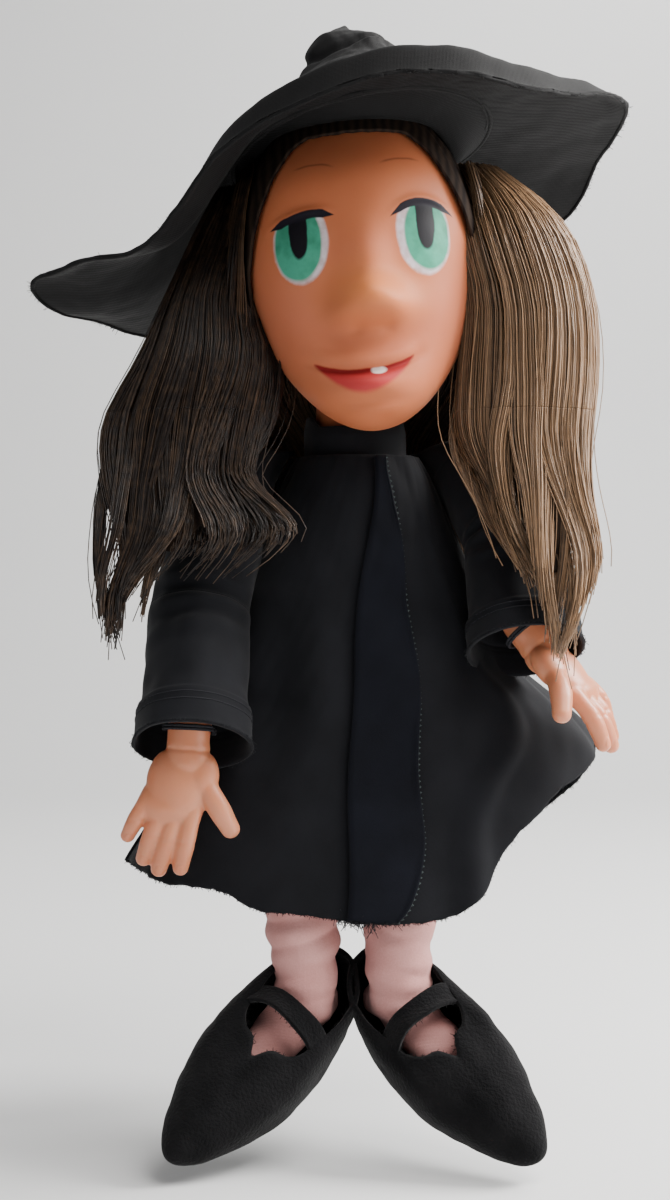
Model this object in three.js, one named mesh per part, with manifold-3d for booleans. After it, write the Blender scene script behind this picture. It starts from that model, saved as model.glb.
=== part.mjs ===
// Hand puppet of a witch: hollow cloth glove under a black coat, vinyl head and hands, wig, floppy hat,
// and two stuffed legs with strap shoes. Millimetres, +Z up, front towards -Y. The puppet's own left is +X.
// The origin is the centre of the glove's wrist opening, where the hand goes in.
import * as THREE from "three";
import { mergeVertices } from "three/addons/utils/BufferGeometryUtils.js";
import Module from "manifold-3d";

const wasm = await Module();
wasm.setup();

const { PI, cos, sin, abs, max, min, hypot, atan2, sqrt } = Math;
const V = (x, y, z) => new THREE.Vector3(x, y, z);

// ---- driving dimensions -----------------------------------------------------------------------------
const GAP = 0.4; // air between touching pieces
const CLOTH = 1.4; // thickness of the coat and hat cloth
const VINYL = 2.4; // wall of the vinyl head

const NECK_PIVOT = V(0, 2, 182);
const SHOULDER = { left: V(48, 4, 174), right: V(-50, 0, 170) };
const ELBOW = { left: V(61, -16, 144), right: V(-60, -22, 117) };
const WRIST_END = { left: V(64, -38, 103), right: V(-61, -49, 68) };
const HAND_ROOT = { left: V(64.5, -35, 112), right: V(-62, -48, 76) };
const HAND_TIP = { left: V(97, -52, 66), right: V(-66, -55, 19) };
const HAND_ACROSS = { left: V(-0.5, -0.8, 0), right: V(1, 0, 0) }; // from the palm's middle to the thumb
const SLEEVE_R = 20;
const SLEEVE_WALL = 2;

const HIP_Z = 56;
const HIP = { left: V(15, -27, HIP_Z), right: V(-22, -27, HIP_Z) };
const ANKLE = { left: V(17, -37, -30), right: V(-19, -37, -30) };
const LEG_R = 16;
const ANKLE_R = 12;
const SHOE_LENGTH = 98;
const SHOE_HALF_WIDTH = 20;

const HEAD_CENTRE = V(2.5, -6, 252);
const HEAD_HALF = V(46, 48, 66); // half width, half depth, half height
const HEAD_ROLL = 0.08; // the head leans towards the puppet's right, in radians

const HAIR_SPLIT_Z = 194; // hair below this lies on the coat, hair above it goes with the head

// ---- colours ----------------------------------------------------------------------------------------
const paint = (color, roughness) => new THREE.MeshStandardMaterial({ color, roughness, metalness: 0 });
const BLACK_CLOTH = paint(0x14151a, 0.9);
const COTTON = paint(0xd8cfc0, 0.95);
const SKIN = paint(0xc98a64, 0.45);
const PINK_CLOTH = paint(0xdcb4ac, 0.9);
const HAIR = paint(0x4a382c, 0.5);
const FELT = paint(0x0d0d0f, 1);
const CARD = paint(0xa58d6a, 0.9);
const CORD = paint(0x24242a, 0.9);

// ---- helpers ----------------------------------------------------------------------------------------
const puppet = new THREE.Group();

const smooth = (from, to, x) => {
  const t = min(1, max(0, (x - from) / (to - from)));
  return t * t * (3 - 2 * t);
};

const mix = (a, b, t) => a + (b - a) * t;

// straight-line lookup in a short list of [position, value] stations
const along = (stations, x) => {
  let i = 0;
  while (i < stations.length - 2 && x > stations[i + 1][0]) i += 1;
  const [x0, y0] = stations[i];
  const [x1, y1] = stations[i + 1];
  return mix(y0, y1, min(1, max(0, (x - x0) / (x1 - x0))));
};

const weld = (geometry) => {
  geometry.deleteAttribute("normal");
  geometry.deleteAttribute("uv");
  return mergeVertices(geometry, 1e-4);
};

// turns the faces round if the mapping left them looking inwards
const outward = (geometry) => {
  const p = geometry.attributes.position;
  const index = geometry.index.array;
  let volume = 0;
  for (let i = 0; i < index.length; i += 3) {
    const [a, b, c] = [0, 1, 2].map((k) => new THREE.Vector3().fromBufferAttribute(p, index[i + k]));
    volume += a.dot(b.cross(c));
  }
  if (volume < 0) for (let i = 0; i < index.length; i += 3) [index[i], index[i + 1]] = [index[i + 1], index[i]];
  geometry.computeVertexNormals();
  return geometry;
};

// moves every vertex of a primitive by a formula
const reshape = (geometry, map) => {
  const solid = weld(geometry);
  const p = solid.attributes.position;
  for (let i = 0; i < p.count; i += 1) {
    const q = map(p.getX(i), p.getY(i), p.getZ(i));
    p.setXYZ(i, q.x, q.y, q.z);
  }
  return outward(solid);
};

// a sheet: surface(u, v) with u and v from 0 to 1, thickened on its inner side
const sheet = (surface, nu, nv, thickness) => {
  const normal = (u, v) => {
    const e = 0.003;
    const du = surface(min(1, u + e), v).sub(surface(max(0, u - e), v));
    const dv = surface(u, min(1, v + e)).sub(surface(u, max(0, v - e)));
    return du.cross(dv).normalize();
  };
  return reshape(new THREE.BoxGeometry(1, 1, 1, nu, nv, 1), (x, y, z) => {
    const u = x + 0.5;
    const v = y + 0.5;
    return surface(u, v).addScaledVector(normal(u, v), (z - 0.5) * thickness);
  });
};

// a closed ring or a tube: section(angle, t, depth) with depth 0 outside and 1 inside
const ringTube = (section, around, steps) => {
  const profile = [];
  for (let i = 0; i <= steps; i += 1) profile.push(new THREE.Vector2(2, i / steps));
  for (let i = steps; i >= 0; i -= 1) profile.push(new THREE.Vector2(1, i / steps));
  profile.push(profile[0].clone());
  return reshape(new THREE.LatheGeometry(profile, around), (x, y, z) =>
    section(atan2(z, x), y, 2 - hypot(x, z)),
  );
};

// a solid limb: rings of section(angle, t) closed by flat ends
const limb = (section, around, steps) => {
  const middle = (t) => section(0, t).add(section(PI, t)).multiplyScalar(0.5);
  return reshape(new THREE.CylinderGeometry(1, 1, 1, around, steps), (x, y, z) => {
    const t = y + 0.5;
    return hypot(x, z) < 0.5 ? middle(t) : section(atan2(z, x), t);
  });
};

const toManifold = (geometry) =>
  new wasm.Manifold(
    new wasm.Mesh({
      numProp: 3,
      vertProperties: new Float32Array(geometry.attributes.position.array),
      triVerts: new Uint32Array(geometry.index.array),
    }),
  );

// the largest body of a result, without the loose slivers that a cut can leave
const largest = (manifold) =>
  manifold.decompose().reduce((best, body) => (body.volume() > best.volume() ? body : best));

const fromManifold = (manifold) => {
  const mesh = largest(manifold).getMesh();
  const geometry = new THREE.BufferGeometry();
  geometry.setAttribute("position", new THREE.BufferAttribute(mesh.vertProperties, 3));
  geometry.setIndex(new THREE.BufferAttribute(mesh.triVerts, 1));
  geometry.computeVertexNormals();
  return geometry;
};

const cut = (geometry, ...tools) =>
  fromManifold(tools.reduce((solid, tool) => solid.subtract(toManifold(tool)), toManifold(geometry)));

const join = (geometry, ...others) =>
  fromManifold(others.reduce((solid, other) => solid.add(toManifold(other)), toManifold(geometry)));

const turnedAbout = (geometry, pivot, axis, angle) =>
  geometry.clone().applyMatrix4(
    new THREE.Matrix4()
      .makeTranslation(pivot)
      .multiply(new THREE.Matrix4().makeRotationAxis(axis, angle))
      .multiply(new THREE.Matrix4().makeTranslation(pivot.clone().negate())),
  );

// takes out of a piece the room that its neighbour needs to turn from one angle to another
const leaveRoom = (geometry, swept, pivot, axis, from, to, count = 3) => {
  const tools = [];
  for (let i = 0; i <= count; i += 1) tools.push(turnedAbout(swept, pivot, axis, mix(from, to, i / count)));
  return cut(geometry, ...tools);
};

const add = (name, geometry, material) => {
  const mesh = new THREE.Mesh(geometry, material);
  mesh.name = name;
  puppet.add(mesh);
  return mesh;
};

const ball = (centre, radius, detail = 10) =>
  outward(weld(new THREE.SphereGeometry(radius, detail, detail - 2).translate(centre.x, centre.y, centre.z)));

// frame of a straight limb from a to b: a point at distance t along it, radius r, angle
const straight = (a, b) => {
  const axis = b.clone().sub(a);
  const side = V(1, 0, 0).addScaledVector(axis, -axis.x / axis.lengthSq()).normalize();
  const front = axis.clone().normalize().cross(side);
  return (angle, t, rSide, rFront = rSide) =>
    a
      .clone()
      .addScaledVector(axis, t)
      .addScaledVector(side, rSide * cos(angle))
      .addScaledVector(front, rFront * sin(angle));
};

// a round rod from a to b, used for cutting and as plain solid limbs
const rod = (a, b, ra, rb = ra, around = 12) => {
  const place = straight(a, b);
  return limb((angle, t) => place(angle, t, mix(ra, rb, t)), around, 1);
};

const cordRing = (centre, normal, radius, thick) => {
  const geometry = new THREE.TorusGeometry(radius, thick, 6, 14);
  geometry.applyQuaternion(new THREE.Quaternion().setFromUnitVectors(V(0, 0, 1), normal.clone().normalize()));
  return outward(weld(geometry.translate(centre.x, centre.y, centre.z)));
};

// ---- coat and glove ---------------------------------------------------------------------------------
const COAT_TOP = 178;
const COAT_LEFT = [[15, 101], [64, 96], [98, 57], [130, 42], [152, 31], [172, 27], [186, 19]];
const COAT_RIGHT = [[-7, 98], [17, 92], [60, 63], [100, 47], [130, 36], [152, 29], [172, 27], [186, 19]];
const COAT_FRONT = [[-7, 54], [20, 50], [60, 42], [100, 35], [130, 31], [152, 28], [172, 24], [186, 18]];
const COAT_BACK = [[-7, 48], [60, 41], [100, 35], [152, 28], [172, 25], [186, 19]];
// the hem rises at the two sides: angle from the puppet's left side, through the front, and round the back
const HEM = [
  [0, 64], [37, 50], [57, 27], [70, 6], [90, 4], [130, 4], [160, 10], [180, 16], [225, 6], [270, 4], [315, 30], [360, 64],
];

const coatPoint = (degrees, z, inset = 0) => {
  const a = (degrees * PI) / 180;
  const halfWidth = along(cos(a) > 0 ? COAT_LEFT : COAT_RIGHT, z);
  const halfDepth = along(sin(a) > 0 ? COAT_FRONT : COAT_BACK, z);
  return V((halfWidth - inset) * cos(a), -(halfDepth - inset) * sin(a), z);
};

const coatPanel = (fromDegrees, toDegrees, inset, columns) =>
  sheet(
    (u, v) => {
      const degrees = mix(fromDegrees, toDegrees, u);
      return coatPoint(degrees, mix(along(HEM, degrees), COAT_TOP, v), inset);
    },
    columns,
    9,
    CLOTH,
  );

const GLOVE_WIDTH = [[-3, 38], [12, 41], [40, 44], [90, 41], [130, 33], [150, 26], [164, 22], [176, 17.4]];
const GLOVE_DEPTH = [[-3, 20], [40, 22], [90, 24], [130, 24], [150, 22], [164, 20], [176, 17.4]];
const GLOVE_Y = 8;
const GLOVE_WALL = 1.6;

const glovePoint = (angle, z, inset) => {
  const y = GLOVE_Y * (1 - smooth(60, 150, z)) + NECK_PIVOT.y * smooth(60, 150, z);
  return V((along(GLOVE_WIDTH, z) - inset) * cos(angle), y + (along(GLOVE_DEPTH, z) - inset) * sin(angle), z);
};

const shoulderHole = (side) => {
  const s = SHOULDER[side];
  return rod(V(0, 0, s.z - 22), V(s.x * 1.1, s.y, s.z - 22), 11);
};

const glove = ringTube((angle, t, depth) => glovePoint(angle, mix(-3, 176, t), depth * GLOVE_WALL), 20, 7);
add("inner_glove", cut(glove, shoulderHole("left"), shoulderHole("right")), COTTON);

add(
  "wrist_band",
  ringTube((angle, t, depth) => glovePoint(angle, mix(-2.5, 6, t), -GAP - 1.6 + depth * 1.6), 20, 1),
  BLACK_CLOTH,
);

add("coat_back", coatPanel(181, 359, 0, 14), BLACK_CLOTH);
const LAP_EDGE = 91; // degrees, where the folded edge of the upper front panel runs
const FACING_EDGE = 76; // the facing is turned outwards from the fold and ends here
add("coat_front_left", coatPanel(0.5, LAP_EDGE, 0, 8), BLACK_CLOTH);
add("coat_front_right", coatPanel(82, 179.5, CLOTH + GAP, 8), BLACK_CLOTH);

add(
  "front_facing",
  sheet((u, v) => coatPoint(mix(FACING_EDGE, LAP_EDGE, u), mix(8, 176, v), -CLOTH - GAP), 2, 9, CLOTH),
  BLACK_CLOTH,
);
add(
  "collar",
  ringTube((angle, t, depth) => {
    const r = 20.6 - depth * 1.6;
    return V(r * cos(angle), NECK_PIVOT.y + r * sin(angle), mix(COAT_TOP + 0.6, COAT_TOP + 5.4, t));
  }, 20, 1),
  BLACK_CLOTH,
);
add(
  "hip_tape",
  sheet((u, v) => {
    const degrees = mix(62, 116, u);
    const flat = coatPoint(degrees, mix(HIP_Z + 3.2, HIP_Z + 13, v), 9);
    return V(flat.x * 1.25, HIP.left.y + 1, flat.z);
  }, 4, 1, 1.6),
  COTTON,
);

// ---- head -------------------------------------------------------------------------------------------
const CHIN_FORWARD = 30;
const NOSE = { at: V(1, 0, -21), reach: 13, width: 13, height: 9 };

// the head as a stretched ball: taper at the jaw, chin forward, round nose
const headPoint = (direction, inset) => {
  const { x, y, z } = direction;
  const low = smooth(0, -1, z);
  const p = V(
    (HEAD_HALF.x - inset) * x * (1 - 0.14 * low),
    (HEAD_HALF.y - inset) * y * (1 - 0.1 * low) - CHIN_FORWARD * low * low,
    (HEAD_HALF.z - inset) * z,
  );
  const spread = ((p.x - NOSE.at.x) / NOSE.width) ** 2 + ((p.z - NOSE.at.z) / NOSE.height) ** 2;
  if (y < 0) p.y -= NOSE.reach * Math.exp(-spread);
  return p;
};

const tiltHead = (geometry) => turnedAbout(geometry, HEAD_CENTRE, V(0, 1, 0), -HEAD_ROLL);

const headBall = (inset, around, rows) =>
  reshape(new THREE.SphereGeometry(1, around, rows), (x, y, z) => headPoint(V(x, z, y), inset).add(HEAD_CENTRE));

const NECK_R = 15.5;
const neckRod = (radius, from, to) =>
  rod(V(NECK_PIVOT.x, NECK_PIVOT.y, from), V(NECK_PIVOT.x, NECK_PIVOT.y, to), radius, radius, 16);

const HEAD_AROUND = 20;
const HEAD_ROWS = 15;
const headSolid = join(tiltHead(headBall(0, HEAD_AROUND, HEAD_ROWS)), neckRod(NECK_R, 178, 205));
add("head_shell", cut(headSolid, tiltHead(headBall(VINYL, 12, 9)), neckRod(NECK_R - VINYL, 170, 215)), SKIN);

// ---- finger tube and neck tie ------------------------------------------------------------------------
add(
  "finger_tube",
  ringTube((angle, t, depth) => {
    const r = mix(12.2, 10.6, depth);
    return V(NECK_PIVOT.x + r * cos(angle), NECK_PIVOT.y + r * sin(angle), mix(166, 226, t));
  }, 14, 1),
  CARD,
);
add("neck_tie", cordRing(V(NECK_PIVOT.x, NECK_PIVOT.y, 174), V(0, 0, 1), 19.4, 0.8), CORD);

// ---- wig --------------------------------------------------------------------------------------------
const CAP_STAND = 3.2; // outside of the wig cap above the vinyl
const capPoint = (angle, t, depth) => {
  const front = smooth(-0.1, -0.9, sin(angle)); // 1 at the forehead
  const polar = mix(0.04, mix(2.05, 1.02, front), t);
  const direction = V(cos(angle) * sin(polar), sin(angle) * sin(polar), cos(polar));
  return headPoint(direction, mix(-CAP_STAND, VINYL, depth)).add(HEAD_CENTRE);
};
add("wig_cap", cut(tiltHead(ringTube(capPoint, 20, 5)), tiltHead(headBall(-GAP, HEAD_AROUND, HEAD_ROWS))), HAIR);

// a flat lock of hair: centre points from top to bottom, half width and half thickness at each
const lock = (stations, around = 8) => {
  const last = stations.length - 1;
  const at = (t) => {
    const i = min(last - 1, Math.floor(t * last));
    const f = t * last - i;
    return stations[i].map((value, k) => mix(value, stations[i + 1][k], f));
  };
  return limb((angle, t) => {
    const [x, y, z, halfWidth, halfThick, yaw] = at(t);
    const w = halfWidth * cos(angle);
    const d = halfThick * sin(angle);
    return V(x + w * cos(yaw) - d * sin(yaw), y + w * sin(yaw) + d * cos(yaw), z);
  }, around, last);
};

// [x, y, z, half width, half thickness, yaw] for each station
const UPPER_RIGHT = [
  [-56, -14, 274, 12, 5, 1.9],
  [-61, -16, 258, 20, 8, 1.85],
  [-64, -22, 236, 24, 9, 1.2],
  [-62, -30, 212, 25, 9, 0.5],
  [-62, -34, HAIR_SPLIT_Z + 0.6, 27, 9, 0.2],
];
const UPPER_LEFT = [
  [60, -12, 282, 12, 6, 1.25],
  [66, -16, 262, 22, 8, 1.1],
  [70, -22, 236, 26, 9, 0.6],
  [68, -32, 212, 26, 9, 0.1],
  [68, -37, HAIR_SPLIT_Z + 0.6, 27, 9, 0],
];
const LOWER_RIGHT = [
  [-62, -34, HAIR_SPLIT_Z - 0.6, 27, 9, 0.2],
  [-63, -40, 165, 27, 9, 0.1],
  [-66, -50, 140, 22, 7, 0.1],
  [-72, -54, 112, 10, 4, 0.1],
];
const LOWER_LEFT = [
  [68, -37, HAIR_SPLIT_Z - 0.6, 27, 9, 0],
  [66, -46, 165, 28, 9, 0],
  [72, -54, 140, 22, 8, 0],
  [78, -64, 112, 9, 4, 0],
];
const BACK_UPPER = [
  [2, 51, 262, 36, 5, 0],
  [2, 52, 246, 44, 7, 0],
  [2, 50, 225, 48, 8, 0],
  [2, 44, HAIR_SPLIT_Z + 0.6, 44, 8, 0],
];
const BACK_LOWER = [
  [2, 44, HAIR_SPLIT_Z - 0.6, 44, 8, 0],
  [2, 45, 170, 42, 8, 0],
  [2, 46, 145, 34, 6, 0],
];
const clearOfHead = (geometry) => cut(geometry, tiltHead(headBall(-CAP_STAND - 1, 14, 10)));
add("hair_upper_right", clearOfHead(lock(UPPER_RIGHT)), HAIR);
add("hair_upper_left", clearOfHead(lock(UPPER_LEFT)), HAIR);
add("hair_back", clearOfHead(lock(BACK_UPPER, 12)), HAIR);
add("hair_lower_right", lock(LOWER_RIGHT), HAIR);
add("hair_lower_left", lock(LOWER_LEFT), HAIR);
add("hair_lower_back", lock(BACK_LOWER, 12), HAIR);

// ---- hat --------------------------------------------------------------------------------------------
// rim of the floppy brim as points round the head, starting at the front and going to the puppet's left
const RIM = [
  [9, -88, 304], [40, -85, 306], [74, -65, 307], [105, -25, 312], [102, 30, 305], [90, 62, 286],
  [50, 92, 270], [4, 98, 262], [-50, 84, 250], [-87, 45, 236], [-110, 20, 240], [-130, -5, 243],
  [-112, -26, 256], [-68, -50, 270], [-51, -68, 287], [-20, -82, 301],
].map(([x, y, z]) => V(x, y, z));
const rimCurve = new THREE.CatmullRomCurve3(RIM, true, "centripetal");
const BAND = { x: 2, y: -3, halfWidth: 51.5, halfDepth: 52.5, z: 300, slope: 0.2, back: -0.16 };
const LIP = 11; // height of the rolled front lip
const LIP_START = 0.84;

const bandPoint = (angle, grow = 0) => {
  const x = (BAND.halfWidth + grow) * sin(angle);
  const y = -(BAND.halfDepth + grow) * cos(angle);
  return V(BAND.x + x, BAND.y + y, BAND.z + x * BAND.slope + y * BAND.back);
};

const brimPoint = (angle, t, depth) => {
  const turn = ((angle / (2 * PI)) % 1 + 1) % 1;
  const rim = rimCurve.getPoint(turn);
  const band = bandPoint(atan2(rim.x - BAND.x, -(rim.y - BAND.y)), GAP);
  const lip = LIP * smooth(1.9, 0.9, abs(atan2(sin(angle + 0.35), cos(angle + 0.35))));
  const p = band.lerp(rim.clone().setZ(rim.z + lip), t);
  p.z -= lip * smooth(LIP_START, 1, t);
  p.z -= CLOTH * depth;
  return p;
};
add("hat_brim", ringTube((angle, t, depth) => brimPoint(angle, t, depth), 32, 5), BLACK_CLOTH);

// crown: hugs the wig cap, then slumps into a small soft point
const CROWN = [[0, 51], [0.3, 47], [0.52, 36], [0.66, 23], [0.8, 18], [0.93, 10], [1, 4]];
const crownPoint = (angle, t, depth) => {
  const stand = bandPoint(angle, -GAP);
  const r = along(CROWN, t) / 51;
  const lean = smooth(0.55, 1, t);
  const height = along([[0, 1], [0.3, 13], [0.52, 24], [0.66, 33], [0.8, 43], [1, 52.5]], t);
  const x = mix(stand.x - BAND.x, 0, 1 - r) + BAND.x - 8 * lean;
  const y = mix(stand.y - BAND.y, 0, 1 - r) + BAND.y + 6 * lean;
  const z = mix(stand.z, BAND.z, 1 - r) + height - depth * (t > 0.5 ? 1.6 : 0);
  const shrink = 1 - (depth * 1.6) / hypot(x - BAND.x, y - BAND.y, 1);
  return V(BAND.x + (x - BAND.x) * shrink, BAND.y + (y - BAND.y) * shrink, z);
};
const crownShell = ringTube(crownPoint, 20, 7);
const crownTip = ball(V(BAND.x - 8, BAND.y + 6, 347.5), 5, 7);
add("hat_crown", clearOfHead(join(crownShell, crownTip)), BLACK_CLOTH);

// ---- arms -------------------------------------------------------------------------------------------
const X_AXIS = V(1, 0, 0);
const ELBOW_BEND = -1.05; // radians, forwards
const sleeve = (a, b, ra, rb, from = 0, to = 1) => {
  const place = straight(a, b);
  return ringTube((angle, t, depth) => {
    const s = mix(from, to, t);
    return place(angle, s, mix(ra, rb, s) - depth * SLEEVE_WALL);
  }, 14, 1);
};

const finger = (a, b, ra, rb) => join(rod(a, b, ra, rb, 6), ball(b, rb, 6));

// a vinyl hand: wrist stub, flat palm, four fingers and a thumb, in distances down the hand and across it
const FINGERS = [
  [[-12, 30], [-20, 46]],
  [[-6.5, 33], [-13.5, 54]],
  [[-1, 34], [-7.5, 57.5]],
  [[4.5, 33], [0.5, 56.5]],
];
const THUMB = [[5, 20], [18, 41]];
const handSolid = (root, tip, toThumb) => {
  const down = tip.clone().sub(root).normalize();
  const across = toThumb.clone().addScaledVector(down, -toThumb.dot(down)).normalize();
  const normal = down.clone().cross(across).normalize();
  const place = ([a, s], n = 0) =>
    root.clone().addScaledVector(down, s).addScaledVector(across, a).addScaledVector(normal, n);
  const palm = limb((angle, t) => {
    const s = mix(0, 38, t);
    const width = along([[0, 8.6], [12, 9], [24, 13], [38, 11.5]], s);
    const thick = along([[0, 8.6], [12, 8], [24, 6.6], [38, 4.4]], s);
    const shift = along([[0, 0], [12, 0], [38, -4.5]], s);
    return place([shift + width * cos(angle), s], thick * sin(angle));
  }, 12, 4);
  const fingers = FINGERS.map(([base, end]) => finger(place(base), place([end[0], end[1] - 3.4]), 3.9, 3.3));
  return join(palm, ball(root, 8.6, 8), ...fingers, finger(place(THUMB[0]), place(THUMB[1]), 4.6, 3.8));
};

for (const side of ["left", "right"]) {
  const s = SHOULDER[side];
  const e = ELBOW[side];
  const w = WRIST_END[side];
  const whole = join(rod(e, w, SLEEVE_R + 1, SLEEVE_R + 1, 10), ball(e, SLEEVE_R + 1, 10));
  const upper = sleeve(s, e, SLEEVE_R - 1, SLEEVE_R);
  add(`sleeve_upper_${side}`, leaveRoom(upper, whole, e, X_AXIS, 0, ELBOW_BEND), BLACK_CLOTH);
  add(`sleeve_lower_${side}`, sleeve(e, w, SLEEVE_R, SLEEVE_R + 0.6, 0, 0.86), BLACK_CLOTH);
  add(`cuff_${side}`, sleeve(e, w, SLEEVE_R + 0.6, SLEEVE_R + 1.6, 0.87, 1), BLACK_CLOTH);

  const root = HAND_ROOT[side];
  const tip = HAND_TIP[side];
  const tube = straight(e, root);
  add(
    `arm_tube_${side}`,
    ringTube((angle, t, depth) => tube(angle, mix(0.05, 0.62, t), 11 - depth * 1.2), 12, 1),
    COTTON,
  );
  const down = tip.clone().sub(root).normalize();
  add(`hand_${side}`, handSolid(root, tip, HAND_ACROSS[side]), SKIN);
  add(`wrist_tie_${side}`, cordRing(root.clone().addScaledVector(down, 2), down, 10.4, 0.8), CORD);
}

// ---- legs and shoes ---------------------------------------------------------------------------------
// shoe frame: x runs from heel to toe, y across, z up from the sole
const SHOE_PITCH = 24; // distance of the ankle from the heel
const ANKLE_HEIGHT = 19;
const ANKLE_SWING = 0.4; // radians each way that the shoe's mouth leaves free
const SHOE_AIM = V(0.6, -0.62, -0.5).normalize(); // for the puppet's left foot
const SHOE_UP = V(-0.2, -0.7, 0.65);

const shoeFrame = (side) => {
  const sign = side === "left" ? 1 : -1;
  const aim = V(SHOE_AIM.x * sign, SHOE_AIM.y, SHOE_AIM.z);
  const rough = V(SHOE_UP.x * sign, SHOE_UP.y, SHOE_UP.z);
  const up = rough.addScaledVector(aim, -rough.dot(aim)).normalize();
  const across = up.clone().cross(aim);
  const heel = ANKLE[side].clone().addScaledVector(aim, -SHOE_PITCH).addScaledVector(up, -ANKLE_HEIGHT);
  return (x, y, z) =>
    heel.clone().addScaledVector(aim, x).addScaledVector(across, y).addScaledVector(up, z);
};

const soleHalfWidth = (s) => SHOE_HALF_WIDTH * sqrt(max(0.02, 1 - abs(2 * s - 1) ** 2.6)) * (0.84 + 0.16 * sin(PI * s));
const STRAP_R = 21;
const SHOE_TOP = [[0, 19], [0.25, 25], [0.45, 24], [0.7, 18], [1, 9]];

for (const side of ["left", "right"]) {
  const hip = HIP[side];
  const ankle = ANKLE[side];
  const place = straight(hip, ankle);
  const legShape = limb((angle, t) => {
    const rSide = along([[0, LEG_R - 2], [0.35, LEG_R], [0.65, LEG_R - 0.6], [0.86, ANKLE_R + 0.8]], t * 0.86);
    const rFront = along([[0, 2.6], [0.3, 10], [0.5, LEG_R - 1], [0.86, ANKLE_R + 0.8]], t * 0.86);
    return place(angle, mix(0, 0.86, t), rSide, rFront);
  }, 12, 5);
  const ankleBall = ball(ankle, ANKLE_R + GAP, 12);
  add(`leg_${side}`, cut(legShape, ankleBall), PINK_CLOTH);

  const at = shoeFrame(side);
  const foot = limb((angle, t) => {
    const s = mix(0.16, 0.74, t);
    const r = along([[0.16, 9], [0.3, 10.2], [0.5, 8.8], [0.74, 5]], s);
    const lift = along([[0.16, 13], [0.3, 13.6], [0.5, 11.6], [0.74, 8.5]], s);
    return at(s * SHOE_LENGTH, r * 1.25 * cos(angle), lift + r * 0.8 * sin(angle));
  }, 12, 4);
  add(`foot_${side}`, join(foot, ball(ankle, ANKLE_R, 12)), PINK_CLOTH);

  // the hollow inside the shoe
  const footRoom = limb((angle, t) => {
    const s = mix(0.05, 0.86, t);
    const r = along([[0.05, 12], [0.3, 15.2], [0.5, 14.6], [0.7, 11.5], [0.86, 8]], s);
    const half = along([[0.05, 8], [0.3, 10.4], [0.5, 9.4], [0.7, 7], [0.86, 3.6]], s);
    return at(s * SHOE_LENGTH, r * cos(angle), 3 + half + half * sin(angle));
  }, 12, 5);
  const upperBlock = limb((angle, t) => {
    const s = t;
    const half = soleHalfWidth(s);
    const top = along(SHOE_TOP, s);
    const squarer = 1.25;
    const y = half * Math.sign(cos(angle)) * abs(cos(angle)) ** (1 / squarer);
    const z = sin(angle) >= 0 ? 2.4 + (top - 2.4) * sin(angle) : 2.4;
    return at(s * SHOE_LENGTH, y, z);
  }, 16, 7);
  const shin = rod(ankle, ankle.clone().lerp(hip, 0.5), ANKLE_R + 2, ANKLE_R + 3);
  const across = at(0, 1, 0).sub(at(0, 0, 0));
  const vee = rod(at(0.46 * SHOE_LENGTH, 0, 12), at(0.46 * SHOE_LENGTH, 0, 50), 7.5, 9, 10);
  const hollow = cut(upperBlock, footRoom, vee, ball(ankle, ANKLE_R + 1, 10));
  add(`shoe_upper_${side}`, leaveRoom(hollow, shin, ankle, across, -ANKLE_SWING, ANKLE_SWING, 2), FELT);

  add(
    `shoe_sole_${side}`,
    reshape(new THREE.CylinderGeometry(1, 1, 1, 24, 1), (x, y, z) => {
      const s = (x + 1) / 2;
      const half = soleHalfWidth(s);
      const ring = hypot(x, z) < 0.5 ? 0 : Math.sign(z) * half;
      return at(s * SHOE_LENGTH, abs(z) < 1e-6 ? 0 : ring, 1 + y * 1.8);
    }),
    FELT,
  );

  add(
    `shoe_strap_${side}`,
    sheet((u, v) => {
      const arc = mix(-0.2, PI + 0.2, u);
      return at(mix(0.38, 0.46, v) * SHOE_LENGTH, STRAP_R * cos(arc), 8 + STRAP_R * max(-0.1, sin(arc)));
    }, 10, 1, 1.6),
    FELT,
  );
}

export default puppet;
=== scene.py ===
"""Visual model of a witch hand puppet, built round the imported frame.

Lengths are in millimetres here and go to metres in make_mesh(). X is the puppet's own left, -Y its
front, +Z up. Outlines of the coat, head, hat, arms and shoes repeat the driving sizes of the CAD model.
"""
import math

import bpy
import numpy as np
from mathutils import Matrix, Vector


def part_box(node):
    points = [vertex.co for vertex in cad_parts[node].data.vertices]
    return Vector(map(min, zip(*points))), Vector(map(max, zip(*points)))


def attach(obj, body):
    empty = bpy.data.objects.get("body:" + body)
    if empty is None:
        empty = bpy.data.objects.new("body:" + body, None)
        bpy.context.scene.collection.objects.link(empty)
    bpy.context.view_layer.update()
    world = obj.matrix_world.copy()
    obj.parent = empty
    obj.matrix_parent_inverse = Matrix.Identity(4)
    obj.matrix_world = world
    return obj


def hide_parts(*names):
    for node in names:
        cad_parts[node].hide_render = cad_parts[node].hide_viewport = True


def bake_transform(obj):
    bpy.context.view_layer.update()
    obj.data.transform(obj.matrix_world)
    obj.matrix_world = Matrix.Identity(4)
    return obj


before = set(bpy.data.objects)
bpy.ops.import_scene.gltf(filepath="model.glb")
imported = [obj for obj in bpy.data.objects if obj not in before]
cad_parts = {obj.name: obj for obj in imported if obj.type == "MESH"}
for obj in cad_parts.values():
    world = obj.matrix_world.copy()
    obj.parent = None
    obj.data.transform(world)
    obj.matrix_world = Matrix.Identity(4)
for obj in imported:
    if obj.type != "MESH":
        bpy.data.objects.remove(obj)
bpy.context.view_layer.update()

MM = 0.001
TAU = 2 * math.pi
SIDES = ("left", "right")
SIGN = {"left": 1, "right": -1}
# added to the seed of a noise, so that the two sides differ
OTHER = {"left": 0, "right": 1}
UP = np.array([0, 0, 1.0])

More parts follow.
